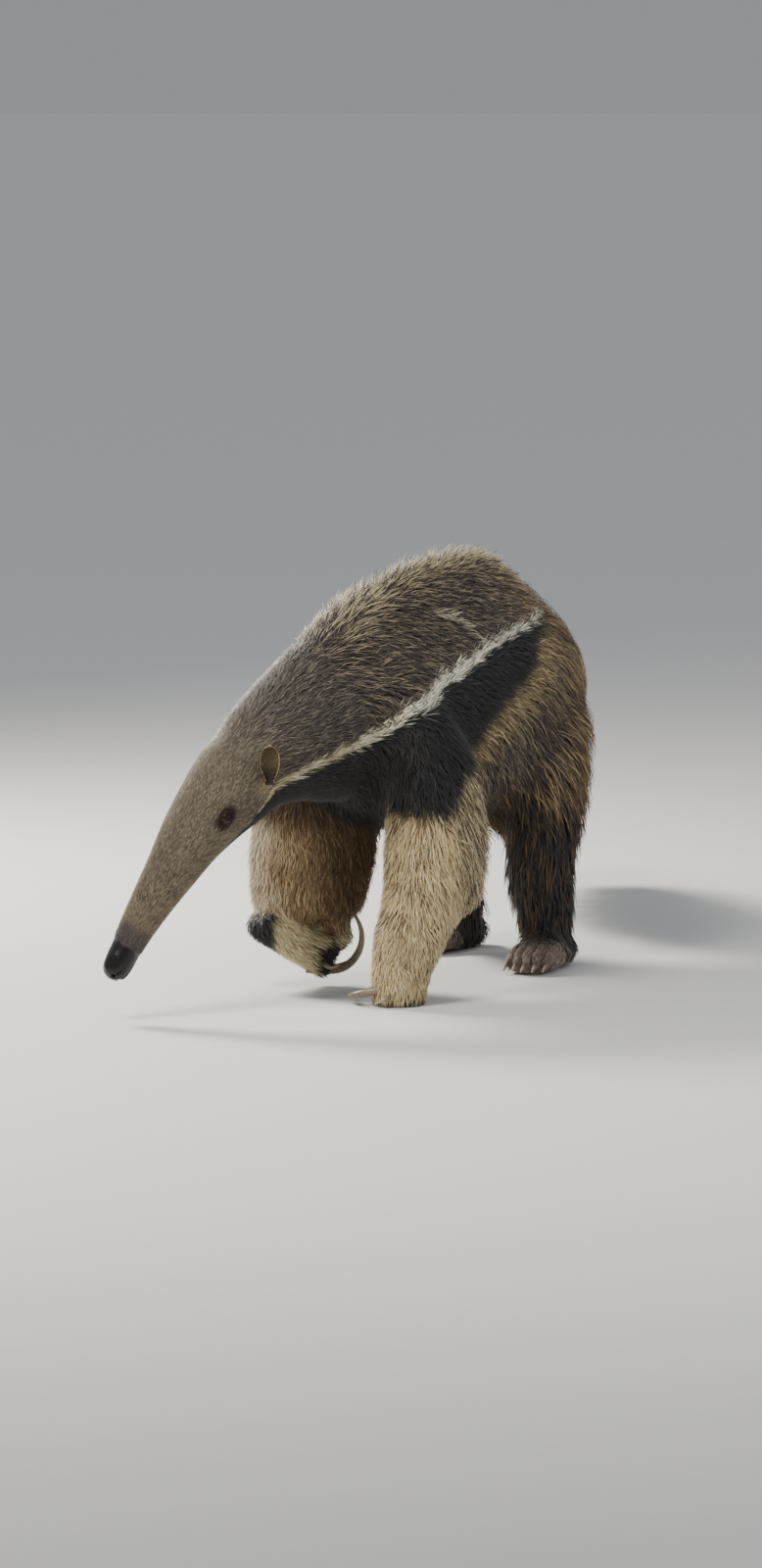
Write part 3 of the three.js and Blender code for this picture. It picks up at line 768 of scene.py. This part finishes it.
def lock_mesh(name, batches):
    """One coat piece of many locks, three points across with a raised middle, tapering to a tip."""
    points, tones, strands, places, loops, sizes = [], [], [], [], [], []
    start = 0
    for rows, rise, width, base, tip, place, seed in batches:
        n, steps = len(rows), rows.shape[1] - 1
        way = unit(np.gradient(rows, axis=1))
        side = unit(np.cross(way, rise[:, None]))
        up = np.cross(side, way)
        t = np.arange(steps) / steps
        swell = 0.62 + 0.38 * np.sin(np.pi * np.minimum(t * 1.25 + 0.1, 1))
        wide = width[:, None] * swell * (1 - t ** 2 * 0.45)
        middle = rows[:, :-1]
        shift = side[:, :-1] * wide[:, :, None] / 2
        raised = middle + up[:, :-1] * wide[:, :, None] * 0.35
        three = np.stack([middle - shift, raised, middle + shift], axis=2)
        block = np.concatenate([three.reshape(n, -1, 3), rows[:, -1:]], axis=1)
        along = np.append(np.repeat(t, 3), 1.0)
        across = np.append(np.tile((0.0, 0.5, 1.0), steps), 0.5)
        share = ramp(0.15, 0.75, along)[None, :, None]
        # painted shade: each lock is darker towards its root, deep in the coat
        shade = (0.62 + 0.38 * ramp(0.0, 0.45, along))[None, :, None]
        tones.append(((base[:, None] + (tip - base)[:, None] * share) * shade).reshape(-1, 3))
        strand = [np.tile(across, (n, 1)), np.tile(along, (n, 1)), np.tile(seed[:, None], len(along))]
        strands.append(np.stack(strand, axis=2).reshape(-1, 3))
        patch = np.stack([across - 0.5, along - 0.5], axis=1) * 0.003
        places.append((place[:, None] + patch[None]).reshape(-1, 2))
        points.append(block.reshape(-1, 3))
        corners = [3 * k + side_of for k in range(steps - 1) for side_of in (0, 1)]
        quads = [(k, k + 1, k + 4, k + 3) for k in corners]
        last, end = 3 * (steps - 1), 3 * steps
        ends = [(last, last + 1, end), (last + 1, last + 2, end)]
        pattern = np.array([i for f in quads + ends for i in f])
        loops.append((start + np.arange(n)[:, None] * (3 * steps + 1) + pattern).ravel())
        sizes.append(np.tile([4] * len(quads) + [3] * len(ends), n))
        start += n * (3 * steps + 1)
    points, loops, sizes = np.vstack(points), np.concatenate(loops), np.concatenate(sizes)
    points[:, 2] = np.maximum(points[:, 2], HAIR_FLOOR_GAP)
    mesh = bpy.data.meshes.new(name)
    mesh.vertices.add(len(points))
    mesh.vertices.foreach_set("co", points.ravel())
    mesh.loops.add(len(loops))
    mesh.loops.foreach_set("vertex_index", loops.astype(np.int32))
    mesh.polygons.add(len(sizes))
    mesh.polygons.foreach_set("loop_start", np.append(0, np.cumsum(sizes)[:-1]).astype(np.int32))
    mesh.polygons.foreach_set("use_smooth", np.ones(len(sizes), bool))
    mesh.update(calc_edges=True)
    mesh.validate()
    set_tone(mesh, np.vstack(tones))
    strand = mesh.attributes.new("strand", "FLOAT_VECTOR", "POINT")
    strand.data.foreach_set("vector", np.vstack(strands).ravel())
    chart = mesh.uv_layers.new(name="OFBake")
    chart.data.foreach_set("uv", np.vstack(places)[loops].ravel())
    return linked(name, mesh)


def set_tone(mesh, colours):
    """Writes the colour of each point."""
    four = np.hstack([colours, np.ones((len(colours), 1))])
    mesh.color_attributes.new("tone", "FLOAT_COLOR", "POINT").data.foreach_set("color", four.ravel())


# name of a claw's node: its path and its radius, in millimetres
CLAWS = {
    "foreleg_left_claw_1": (((86, -286, 36), (68, -280, 28), (60, -268, 20)), 4.5),
    "foreleg_left_claw_2": (((90, -318, 24), (68, -316, 15), (58, -302, 11), (57, -286, 11)), 6.5),
    "foreleg_left_claw_3": (((98, -352, 24), (74, -366, 18), (52, -356, 12), (40, -330, 11),
                             (38, -304, 13)), 8.5),
    "foreleg_left_claw_4": (((120, -352, 20), (116, -374, 13), (106, -386, 7)), 5),
    "foreleg_right_claw_1": (((-100, -186, 66), (-92, -172, 74), (-92, -164, 88)), 4.5),
    "foreleg_right_claw_2": (((-96, -178, 44), (-84, -158, 34), (-74, -148, 48), (-74, -148, 68)), 6),
    "foreleg_right_claw_3": (((-82, -200, 26), (-53, -177, 22), (-33, -165, 43), (-27, -161, 71),
                              (-33, -163, 95), (-46, -166, 110)), 8.5),
    "foreleg_right_claw_4": (((-70, -216, 40), (-54, -212, 28), (-44, -204, 34)), 5),
}
for leg_side, ((foot_x, foot_y), foot_turn) in zip(SIDES, FEET):
    c, s = math.cos(math.radians(foot_turn)), math.sin(math.radians(foot_turn))
    for toe, aside in enumerate((-30, -15, 0, 15, 30)):
        trail = abs(aside) * 0.35
        path = ((aside * 0.9, trail - 140, 17), (aside, trail - 158, 13), (aside, trail - 172, 6))
        CLAWS["hindleg_%s_claw_%d" % (leg_side, toe + 1)] = (
            tuple((foot_x * 1000 + a * c - d * s, foot_y * 1000 + a * s + d * c, h) for a, d, h in path), 5)


CLAW_RINGS, CLAW_SIDES = 34, 16


def make_claw(node, path, radius):
    """A smooth tapering claw along its node's path, with its colour by place along it."""
    path = np.array(path, float)
    path = np.vstack([path[0] * 2 - path[1], path]) if len(path) > 2 else path
    path[0] = path[1] + (path[0] - path[1]) * 0.45
    keys = lengths_to(path)
    t = np.linspace(0, 1, CLAW_RINGS)
    at = sampled(t * keys[-1], keys, path)
    for _ in range(14):
        at[1:-1] += (at[:-2] + at[2:] - 2 * at[1:-1]) * 0.35
    size = radius * (1 - 0.80 * t ** 1.35)
    size[-1] *= 0.45
    bend = unit(np.gradient(unit(np.gradient(at, axis=0)), axis=0).sum(0) + np.array((0, 0, 1e-3)))
    points, faces = tube(at / 1000 + SHIFT, size / 1000, CLAW_SIDES, np.tile(bend, (len(at), 1)), 0.80)
    if node.startswith(("foreleg_left", "hind")):
        points[:, 2] = np.maximum(points[:, 2], HAIR_FLOOR_GAP)
    obj = new_object("horn_" + node, points, faces)
    where = np.append(np.repeat(t, CLAW_SIDES), (0, 1))[:, None]
    shade = 0.75 + 0.25 * np.sin(where * 9 + len(node))
    set_tone(obj.data, (rgb((118, 104, 88)) * (1 - where) + rgb((168, 152, 126)) * where) * shade)
    obj.data.shade_smooth()
    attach(obj, "root")
    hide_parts(node)
    return obj


def make_eye(side):
    """A dark eyeball with a bulging cornea, looking outward."""
    centre, out, along, high = eye_frame(side)
    bm = bmesh.new()
    bmesh.ops.create_uvsphere(bm, u_segments=40, v_segments=28, radius=1)
    local = np.array([v.co for v in bm.verts])
    angle = np.degrees(np.arccos(np.clip(local[:, 2], -1, 1)))
    swell = 1 + CORNEA_SWELL * ramp(40, 20, angle)
    placed = centre + (local @ np.array((along, high, out))) * (EYE_RADIUS * EYEBALL_SHARE * swell)[:, None]
    for v, p in zip(bm.verts, placed):
        v.co = p
    bmesh.ops.recalc_face_normals(bm, faces=bm.faces)
    mesh = bpy.data.meshes.new("eyeball_" + side)
    bm.to_mesh(mesh)
    bm.free()
    iris = ramp(*PUPIL_EDGE, angle)[:, None]
    white = ramp(*IRIS_EDGE, angle)[:, None]
    colours = rgb((5, 4, 4)) * (1 - iris) + rgb((30, 16, 12)) * iris
    colours = colours * (1 - white) + rgb((44, 22, 19)) * white
    set_tone(mesh, colours)
    mesh.shade_smooth()
    obj = linked("eyeball_" + side, mesh)
    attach(obj, "root")
    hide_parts("eye_" + side)
    return obj


def chart_of(mesh):
    """The places of a mesh's loops on its unwrap."""
    chart = np.empty(len(mesh.loops) * 2)
    mesh.uv_layers["OFBake"].data.foreach_get("uv", chart)
    return chart.reshape(-1, 2)


def corner_data(skin):
    """The skin's triangles as points, their loops' places on its unwrap, and its point normals."""
    mesh = skin.data
    mesh.calc_loop_triangles()
    tris = np.empty(len(mesh.loop_triangles) * 3, np.int32)
    mesh.loop_triangles.foreach_get("vertices", tris)
    loops = np.empty(len(tris), np.int32)
    mesh.loop_triangles.foreach_get("loops", loops)
    normals = np.empty(len(mesh.vertices) * 3)
    mesh.vertex_normals.foreach_get("vector", normals)
    return tris.reshape(-1, 3), chart_of(mesh)[loops].reshape(-1, 3, 2), normals.reshape(-1, 3)


# added length of the locks along the crest, on the flank, the rump and behind the planted foreleg
CREST_EXTRA, FLANK_EXTRA, RUMP_EXTRA, FRINGE_EXTRA = 0.020, 0.030, 0.026, 0.034
CREST_WAY = np.array((0, -0.1, 0.75))
FRINGE_WAY = np.array((0, 0.85, 0.15))
STRIPE_WAY = np.array((0.05, 0.80, 0.42))
STRIPE_LENGTH = 0.021
CREST_LIFT, STRIPE_LIFT, LIFT_SPREAD = 24, 10, 6  # degrees
STEP_LENGTHS = (0.026, 0.050)  # below them a lock has two or three steps, and above them four


def locks_wanted(points, tris, spacing, label, cup, normals):
    """How many locks each triangle of the skin carries on average."""
    a, b, c = (points[tris[:, i]] for i in range(3))
    area = norm(np.cross(b - a, c - a), axis=1) / 2
    middle = (a + b + c) / 3
    body = middle - SHIFT
    wanted = area / spacing ** 2
    wanted *= 1 - nose_share(middle)
    wanted *= 1 - pad_share(body) * (label[tris[:, 0]] == "foreleg_right_hand")
    wanted *= np.where(cup[tris].min(1) > 0.5, 0.25, 1.0)
    sole = (middle[:, 2] < 0.012) & (normals[tris[:, 0], 2] < -0.6)
    wanted *= (body[:, 1] < 0.46) & ~sole
    for side in SIDES:
        centre, _, along, high = eye_frame(side)
        rel = middle - centre
        ring = oval(rel, (along, EYE_LONG * 1.35), (high, EYE_SHORT * 1.5))
        wanted *= (ring > 1) | (norm(rel, axis=1) > 0.03)
    return wanted


def scattered(wanted):
    """The triangle each lock stands on, and the weights of its three corners at the lock's root."""
    count = np.floor(wanted + RNG.random(len(wanted))).astype(int)
    tri = np.repeat(np.arange(len(wanted)), count)
    u, v = RNG.random(len(tri)), RNG.random(len(tri))
    over = u + v > 1
    u[over], v[over] = 1 - u[over], 1 - v[over]
    return tri, np.stack([1 - u - v, u, v], axis=1)[:, :, None]


def piece_of(kind, on_right, on_crest):
    """The coat piece that a lock of a region belongs to."""
    if on_crest:
        return "crest"
    if kind.startswith("foreleg"):
        return kind.rsplit("_", 1)[0]
    name = COAT_PIECES.get(kind, kind)
    if name in ("trunk", "hindleg"):
        name += "_right" if on_right else "_left"
    return name


def coat_piece(name, chosen, lock, tree, inner):
    """One coat piece of the chosen locks, held between the skin and the outline of the coat."""
    batches = []
    for steps in (2, 3, 4):
        pick = chosen[lock["steps"][chosen] == steps]
        if not len(pick):
            continue
        some = {key: values[pick] for key, values in lock.items()}
        path = (some[key] for key in ("root", "normal", "lie", "length", "lift", "droop"))
        rows = lock_paths(*path, steps)
        free = some["kind"] != "ear"
        rows[free, 1:] = settle(rows[free, 1:], tree, np.repeat(some["reach"][free], steps), True)
        rows[free, 1:] = settle(rows[free, 1:], inner, LOCK_CLEARANCE, False)
        look = (some[key] for key in ("normal", "width", "base", "tip", "place"))
        batches.append((rows, *look, RNG.random(len(pick))))
    return lock_mesh(name, batches)


def grow_coat(skin, points, label, cup, tree, inner):
    """The locks of every region but the tail's long hair, in pieces small enough to bake."""
    tris, chart, normals = corner_data(skin)
    links = edges_of(tris)
    table = spread(np.array([[*REGIONS[n][1:5], *REGIONS[n][5]] for n in label]), links, 10)
    wide = spread(table, links, 60)
    table = np.where(np.isin(label, ("head", "nose", "ear"))[:, None], table, wide)
    spacing = table[tris, 2].mean(1) * 1.0
    tri, weight = scattered(locks_wanted(points, tris, spacing, label, cup, normals))
    n = len(tri)

    def at(values):
        return (values[tris[tri]] * weight).sum(1)

    root, normal, place = at(points), unit(at(normals)), (chart[tri] * weight).sum(1)
    rows = at(table)
    length, width, _, lift = rows[:, :4].T
    lie = rows[:, 4:7]
    kind = label[tris[tri, 0]]
    base, pale, many = (at(values.reshape(len(points), -1)) for values in markings(points, label, cup))
    spot = root - SHIFT
    crest = crest_share(spot) * (kind != "head")
    on_trunk = kind == "trunk"
    flank = ramp(0.0, 0.04, level(spot[:, 1], BAND_LOW) - spot[:, 2])
    flank *= ramp(-0.2, -0.12, spot[:, 1]) * on_trunk
    rear = ramp(0.12, 0.28, spot[:, 1]) * on_trunk * (1 - crest)
    length = length * (1 - 0.2 * on_trunk) + CREST_EXTRA * crest + FLANK_EXTRA * flank + RUMP_EXTRA * rear
    swirl = 0.20 * wave(spot, 0.07, 21) + 0.16 * wave(spot, 0.022, 22) + RNG.normal(0, 0.24, n)
    swirl *= np.where(kind == "head", 0.4, 1.0)
    fringe = fringe_share(spot, kind)
    length += FRINGE_EXTRA * fringe
    lie = lie + CREST_WAY * crest[:, None] + FRINGE_WAY * fringe[:, None]
    left = on_left(spot)
    half = level(left[:, 1], STRIPE_HALF)
    off = np.abs(left[:, 2] - level(left[:, 1], STRIPE)) / np.maximum(half, 0.004)
    near = ramp(2.6, 1.0, off) * (half > 0) * ~np.isin(kind, ("head", "nose", "ear"))
    lie = lie * (1 - near[:, None]) + STRIPE_WAY * near[:, None]
    length = length * (1 - near) + STRIPE_LENGTH * near
    lift = np.radians(lift + CREST_LIFT * crest + STRIPE_LIFT * near + LIFT_SPREAD * RNG.normal(size=n))
    lie = unit(lie - normal * (lie * normal).sum(1)[:, None])
    lie = unit(lie * np.cos(swirl)[:, None] + np.cross(normal, lie) * np.sin(swirl)[:, None])
    for side in SIDES:
        from_eye = norm(root - eye_frame(side)[0], axis=1)
        length = length * (0.45 + 0.55 * ramp(0.010, 0.022, from_eye))
    length = length * RNG.uniform(0.72, 1.18, n)
    width = width * (1 - 0.25 * crest) * RNG.uniform(0.7, 1.3, n) * 1.0
    droop = np.clip((length - 0.02) / 0.05, 0, 1) * 0.9 * (1 - crest)
    tint = RNG.uniform(0.74, 1.24, n)[:, None] * (1 + 0.14 * wave(spot, 0.05, 31))[:, None]
    picked = RNG.random(n)[:, None] < many
    tip = np.where(picked, pale * RNG.uniform(0.85, 1.15, n)[:, None], base * tint * 1.08)
    on_right = spot[:, 0] < np.interp(spot[:, 1], (-0.43, -0.27), (-0.028, 0.0))
    group = np.array([piece_of(*row) for row in zip(kind, on_right, crest > 0.35)])
    reach = RNG.uniform(-0.001, 0.004, n) * (kind != "head") + CREST_DEPTH * crest
    steps = 2 + np.searchsorted(STEP_LENGTHS, length, side="right")
    lock = dict(root=root, normal=normal, lie=lie, length=length, lift=lift, droop=droop, width=width,
                base=base * tint, tip=tip, place=place, reach=reach, kind=kind, steps=steps)
    made = []
    for name in sorted(set(group)):
        chosen = np.flatnonzero(group == name)
        chosen = chosen[np.argsort(spot[chosen, 1])]
        triangles = np.cumsum(4 * steps[chosen] - 2)
        parts = int(triangles[-1] // PIECE_LIMIT) + 1
        cuts = np.searchsorted(triangles, np.arange(1, parts) * triangles[-1] / parts)
        for i, some in enumerate(np.split(chosen, cuts)):
            made.append(coat_piece("coat_%s_%d" % (name, i + 1), some, lock, tree, inner))
    return made


TAIL_HAIR = (0.05, 0.17)  # how far behind its tip a long lock starts along the tail
TAIL_WIDTH = (0.0030, 0.0062)
TAIL_STEPS = 5


def grow_tail(skin, outline, tree, inner):
    """Long hair that starts round the tail's core and hangs out to the outline of the coat."""
    points, quads = outline
    bone = TAIL_BONE + SHIFT
    middle = points[quads].mean(1)
    middle = middle[middle[:, 1] > bone[1, 1] + 0.03]
    total = TAIL_LOCKS // 1
    target = middle[RNG.integers(0, len(middle), total)] + RNG.normal(0, 0.002, (total, 3))
    keys = lengths_to(bone)
    s = np.linspace(0, keys[-1], 160)
    line = sampled(s, keys, bone)
    near = np.empty(total, int)
    for i in range(0, total, 2000):
        near[i:i + 2000] = norm(target[i:i + 2000, None] - line[None], axis=2).argmin(1)
    start = np.clip(s[near] - RNG.uniform(*TAIL_HAIR, total), 0.03, keys[-1])
    centre = sampled(start, s, line)
    ahead = sampled(start, s, unit(np.gradient(line, axis=0)))
    pull = 1 - 0.5 * RNG.random(total) ** 2.2
    aim = line[near] + (target - line[near]) * pull[:, None]
    out = aim - centre
    out = unit(out - ahead * (out * ahead).sum(1)[:, None] + RNG.normal(0, 0.02, (total, 3)))
    root = centre + out * np.interp(start, keys, TAIL_RADIUS)[:, None] * 0.95
    span = norm(aim - root, axis=1)[:, None]
    arrive = unit(0.55 * ahead + 0.75 * (aim - root) / span + np.array((0, 0, -0.35)))
    bend = (root, root + unit(ahead * 0.75 + out * 0.65) * span * 0.36, aim - arrive * span * 0.34, aim)
    t = np.linspace(0, 1, TAIL_STEPS + 1)[None, :, None]
    shares = ((1 - t) ** 3, 3 * t * (1 - t) ** 2, 3 * t * t * (1 - t), t ** 3)
    rows = sum(point[:, None] * share for point, share in zip(bend, shares))
    rows[:, 1:] = settle(rows[:, 1:], tree, np.full(total * TAIL_STEPS, -0.001), True)
    places = np.empty((total, 2))
    chart = chart_of(skin.data)
    for i, p in enumerate(root):
        face = skin.data.polygons[inner.find_nearest(p)[2]]
        places[i] = chart[face.loop_start:face.loop_start + face.loop_total].mean(0)
    base, pale, many = markings(root, np.array(["tail_base"] * total), np.zeros(total))
    # painted shade: tail locks that hang downward, on the tail's underside, are darker
    underside_shade = ramp(0.3, -0.5, out[:, 2])[:, None]
    base = base * (1 - 0.35 * underside_shade) * (1 + 0.2 * wave(aim, 0.12, 41))[:, None]
    picked = (RNG.random(total) < many)[:, None]
    tint = RNG.uniform(0.7, 1.3, total)[:, None]
    tip = np.where(picked, pale * tint, base * tint * 1.15)
    width = RNG.uniform(*TAIL_WIDTH, total) * 1.0
    rise = unit(out + np.array((0, 0, 0.05)))
    made = []
    for i, some in enumerate(np.array_split(np.argsort(start), TAIL_PIECES)):
        look = (values[some] for values in (rows, rise, width, base * tint, tip, places))
        made.append(lock_mesh("coat_tail_%d" % (i + 1), [(*look, RNG.random(len(some)))]))
    return made


STRAND_SCALE = (5.0, 1.3, 90.0)  # of the noise across a lock, along it and from lock to lock


class Nodes:
    """A material's nodes, with its shader's own sockets set as numbers."""

    def __init__(self, name, **numbers):
        self.material = bpy.data.materials.new(name)
        self.material.use_nodes = True
        self.tree = self.material.node_tree
        self.shader = self.tree.nodes["Principled BSDF"]
        for key, value in numbers.items():
            self.shader.inputs[key.replace("_", " ")].default_value = value

    def add(self, kind, links=(), **values):
        node = self.tree.nodes.new("ShaderNode" + kind)
        for key, value in values.items():
            if key in node.inputs:
                node.inputs[key].default_value = value
            else:
                setattr(node, key, value)
        for key, source in dict(links).items():
            self.tree.links.new(source, node.inputs[key])
        return node

    def noise(self, vector, scale, detail=3.0, kind="TexNoise"):
        values = {"Scale": scale} if kind == "TexVoronoi" else {"Scale": scale, "Detail": detail}
        return self.add(kind, {"Vector": vector}, **values)

    def between(self, value, low, high):
        return self.add("MapRange", {"Value": value}, **{"To Min": low, "To Max": high}).outputs["Result"]

    def scaled(self, colour, factor):
        return self.add("VectorMath", {0: colour, 1: factor}, operation="MULTIPLY").outputs[0]

    def finish(self, colour, height, strength, distance):
        bump = self.add("Bump", {"Height": height}, Strength=strength, Distance=distance)
        self.tree.links.new(colour, self.shader.inputs["Base Color"])
        self.tree.links.new(bump.outputs["Normal"], self.shader.inputs["Normal"])
        return self.material


def toned_material(name, fine, broad, relief, kind="TexNoise", strands=False, **numbers):
    """A surface in the piece's own colours, varied by a fine noise, which is its relief too, and a broad one.

    A noise is its scale, its detail, and the least and most that it leaves of the colour. The relief is its
    strength and its height. With strands the fine noise is drawn out along each lock.
    """
    nodes = Nodes(name, **numbers)
    where = nodes.add("TexCoord").outputs["Object"]
    place = where
    if strands:
        strand = nodes.add("Attribute", attribute_name="strand").outputs["Vector"]
        drawn_out = nodes.add("VectorMath", {0: strand}, operation="MULTIPLY")
        drawn_out.inputs[1].default_value = STRAND_SCALE
        place = drawn_out.outputs[0]
    grain = nodes.noise(place, *fine[:2], kind=kind).outputs[0]
    colour = nodes.add("Attribute", attribute_name="tone").outputs["Color"]
    for noise, (low, high) in ((grain, fine[2:]), (nodes.noise(where, *broad[:2]).outputs[0], broad[2:])):
        colour = nodes.scaled(colour, nodes.between(noise, low, high))
    return nodes.finish(colour, grain, *relief)


def floor_material():
    """A plain pale studio floor."""
    nodes = Nodes("studio_floor", Roughness=0.75)
    grain = nodes.noise(nodes.add("TexCoord").outputs["Object"], 30).outputs[0]
    pale = nodes.add("Mix", {"Factor": grain}, data_type="RGBA")
    pale.inputs[6].default_value = (0.66, 0.65, 0.63, 1)
    pale.inputs[7].default_value = (0.70, 0.69, 0.67, 1)
    return nodes.finish(pale.outputs[2], grain, 0.03, 0.001)


def camera_axes():
    """Directions back to the camera, right and up."""
    back = Vector(VIEW_BACK * math.cos(ELEVATION)) + Vector((0, 0, math.sin(ELEVATION)))
    right = Vector(VIEW_RIGHT)
    return back, right, back.cross(right)


def place_camera():
    """The photo's camera: far off, low, with the planted forefoot at its place in the picture."""
    anchor = Vector(middle_of("foreleg_left_hand"))
    anchor.z = 0
    back, right, up = camera_axes()
    focal = LENS / SENSOR * IMAGE_HEIGHT
    pitch = Matrix.Rotation(math.atan2(AIM[1], focal), 3, right)
    yaw = Matrix.Rotation(math.atan2(AIM[0], focal), 3, "Z")
    data = bpy.data.cameras.new("camera")
    data.lens = LENS
    data.sensor_width = SENSOR
    data.clip_end = 60
    camera = linked("camera", data)
    camera.matrix_world = Matrix.Translation(anchor + back * DISTANCE) @ (
        yaw @ pitch @ Matrix((right, up, back)).transposed()).to_4x4()
    bpy.context.scene.camera = camera


def light_up():
    """A soft key from the upper left of the picture, a weak fill, a light from behind, and the pale floor."""
    back, right, _ = camera_axes()
    middle = Vector(((CAD_BOX[0][0] + CAD_BOX[1][0]) / 2, -0.35, 0.35))
    for name, offset, size, watts, colour in (
            ("key", (-1.3, 1.9, 2.3), 1.3, 98, (1.0, 0.96, 0.90)),
            ("fill", (2.4, 2.0, 0.9), 2.6, 26, (0.92, 0.96, 1.0)),
            ("edge", (-1.7, -1.7, 1.9), 1.0, 190, (1.0, 0.95, 0.86))):
        data = bpy.data.lights.new(name, "AREA")
        data.shape = "DISK"
        data.size = size
        data.energy = watts
        data.color = colour
        place = middle + right * offset[0] + back * offset[1] + Vector((0, 0, offset[2]))
        turn = (middle - place).to_track_quat("-Z", "Y").to_matrix().to_4x4()
        linked(name, data).matrix_world = Matrix.Translation(place) @ turn
    world = bpy.data.worlds.new("studio")
    world.use_nodes = True
    nodes, links = world.node_tree.nodes, world.node_tree.links
    sky = nodes.new("ShaderNodeValToRGB")
    sky.color_ramp.interpolation = "EASE"
    sky.color_ramp.elements[0].color = (0.300, 0.308, 0.322, 1)
    sky.color_ramp.elements[1].color = (0.45, 0.47, 0.50, 1)
    sky.color_ramp.elements[1].position = 0.25
    height = nodes.new("ShaderNodeSeparateXYZ")
    links.new(nodes.new("ShaderNodeTexCoord").outputs["Generated"], height.inputs[0])
    links.new(height.outputs["Z"], sky.inputs["Fac"])
    links.new(sky.outputs["Color"], nodes["Background"].inputs["Color"])
    bpy.context.scene.world = world
    corners = [(x * FLOOR_HALF, y * FLOOR_HALF, 0) for x, y in ((-1, -1), (1, -1), (1, 1), (-1, 1))]
    floor = new_object("floor", corners, ((0, 1, 2, 3),))
    floor.data.materials.append(floor_material())


def unwrap(obj):
    """Unwraps the skin by its own shape."""
    obj.data.uv_layers.new(name="OFBake")
    bpy.ops.object.select_all(action="DESELECT")
    bpy.context.view_layer.objects.active = obj
    obj.select_set(True)
    bpy.ops.object.mode_set(mode="EDIT")
    bpy.ops.mesh.select_all(action="SELECT")
    bpy.ops.uv.smart_project(angle_limit=math.radians(66), island_margin=0.002)
    bpy.ops.object.mode_set(mode="OBJECT")
    obj.select_set(False)


def main():
    place_camera()
    light_up()
    skin, points, label, cup, outline = make_skin()
    tree = tree_of(*outline)
    inner = tree_of(points, [tuple(f.vertices) for f in skin.data.polygons])
    unwrap(skin)
    skin.data.shade_smooth()
    wet = nose_share(points)[:, None]
    # painted shade: the skin under the coat is darkened like the locks' roots; only the bare wet nose keeps
    # its full colour
    set_tone(skin.data, markings(points, label, cup)[0] * (0.62 + 0.38 * wet))
    skin.data.materials.append(toned_material(
        "hide", (900, 3, 0.72, 1.28), (55, 3, 0.85, 1.15), (0.5, 0.0008), Roughness=0.66,
        Specular_IOR_Level=0.3))
    skin.data.materials.append(toned_material(
        "wet_nose", (520, 3, 0.72, 1.28), (55, 3, 0.9, 1.1), (0.35, 0.0008), "TexVoronoi", Roughness=0.30,
        Specular_IOR_Level=0.30, Coat_Weight=0.14, Coat_Roughness=0.15))
    for face in skin.data.polygons:
        face.material_index = int(wet[face.vertices[0], 0] > 0.5)
    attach(skin, "root")
    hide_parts(*FLESH)
    hair = toned_material(
        "coat", (1.6, 2, 0.35, 1.65), (24, 3, 0.82, 1.18), (0.5, 0.0006), strands=True, Roughness=0.52,
        Specular_IOR_Level=0.42, Sheen_Weight=0.12, Sheen_Roughness=0.45)
    for piece in grow_coat(skin, points, label, cup, tree, inner) + grow_tail(skin, outline, tree, inner):
        piece.data.materials.append(hair)
        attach(piece, "root")
    horn = toned_material(
        "horn", (160, 5, 0.55, 1.4), (45, 3, 0.75, 1.2), (0.35, 0.0006), Roughness=0.38,
        Specular_IOR_Level=0.5, Coat_Weight=0.15, Coat_Roughness=0.3)
    for node, (path, radius) in CLAWS.items():
        make_claw(node, path, radius).data.materials.append(horn)
    wet_eye = toned_material(
        "eyeball", (900, 2, 0.6, 1.4), (900, 2, 1, 1), (0.02, 0.0002), Roughness=0.08,
        Specular_IOR_Level=0.22, Coat_Weight=0.06, Coat_Roughness=0.03)
    for side in SIDES:
        make_eye(side).data.materials.append(wet_eye)


main()
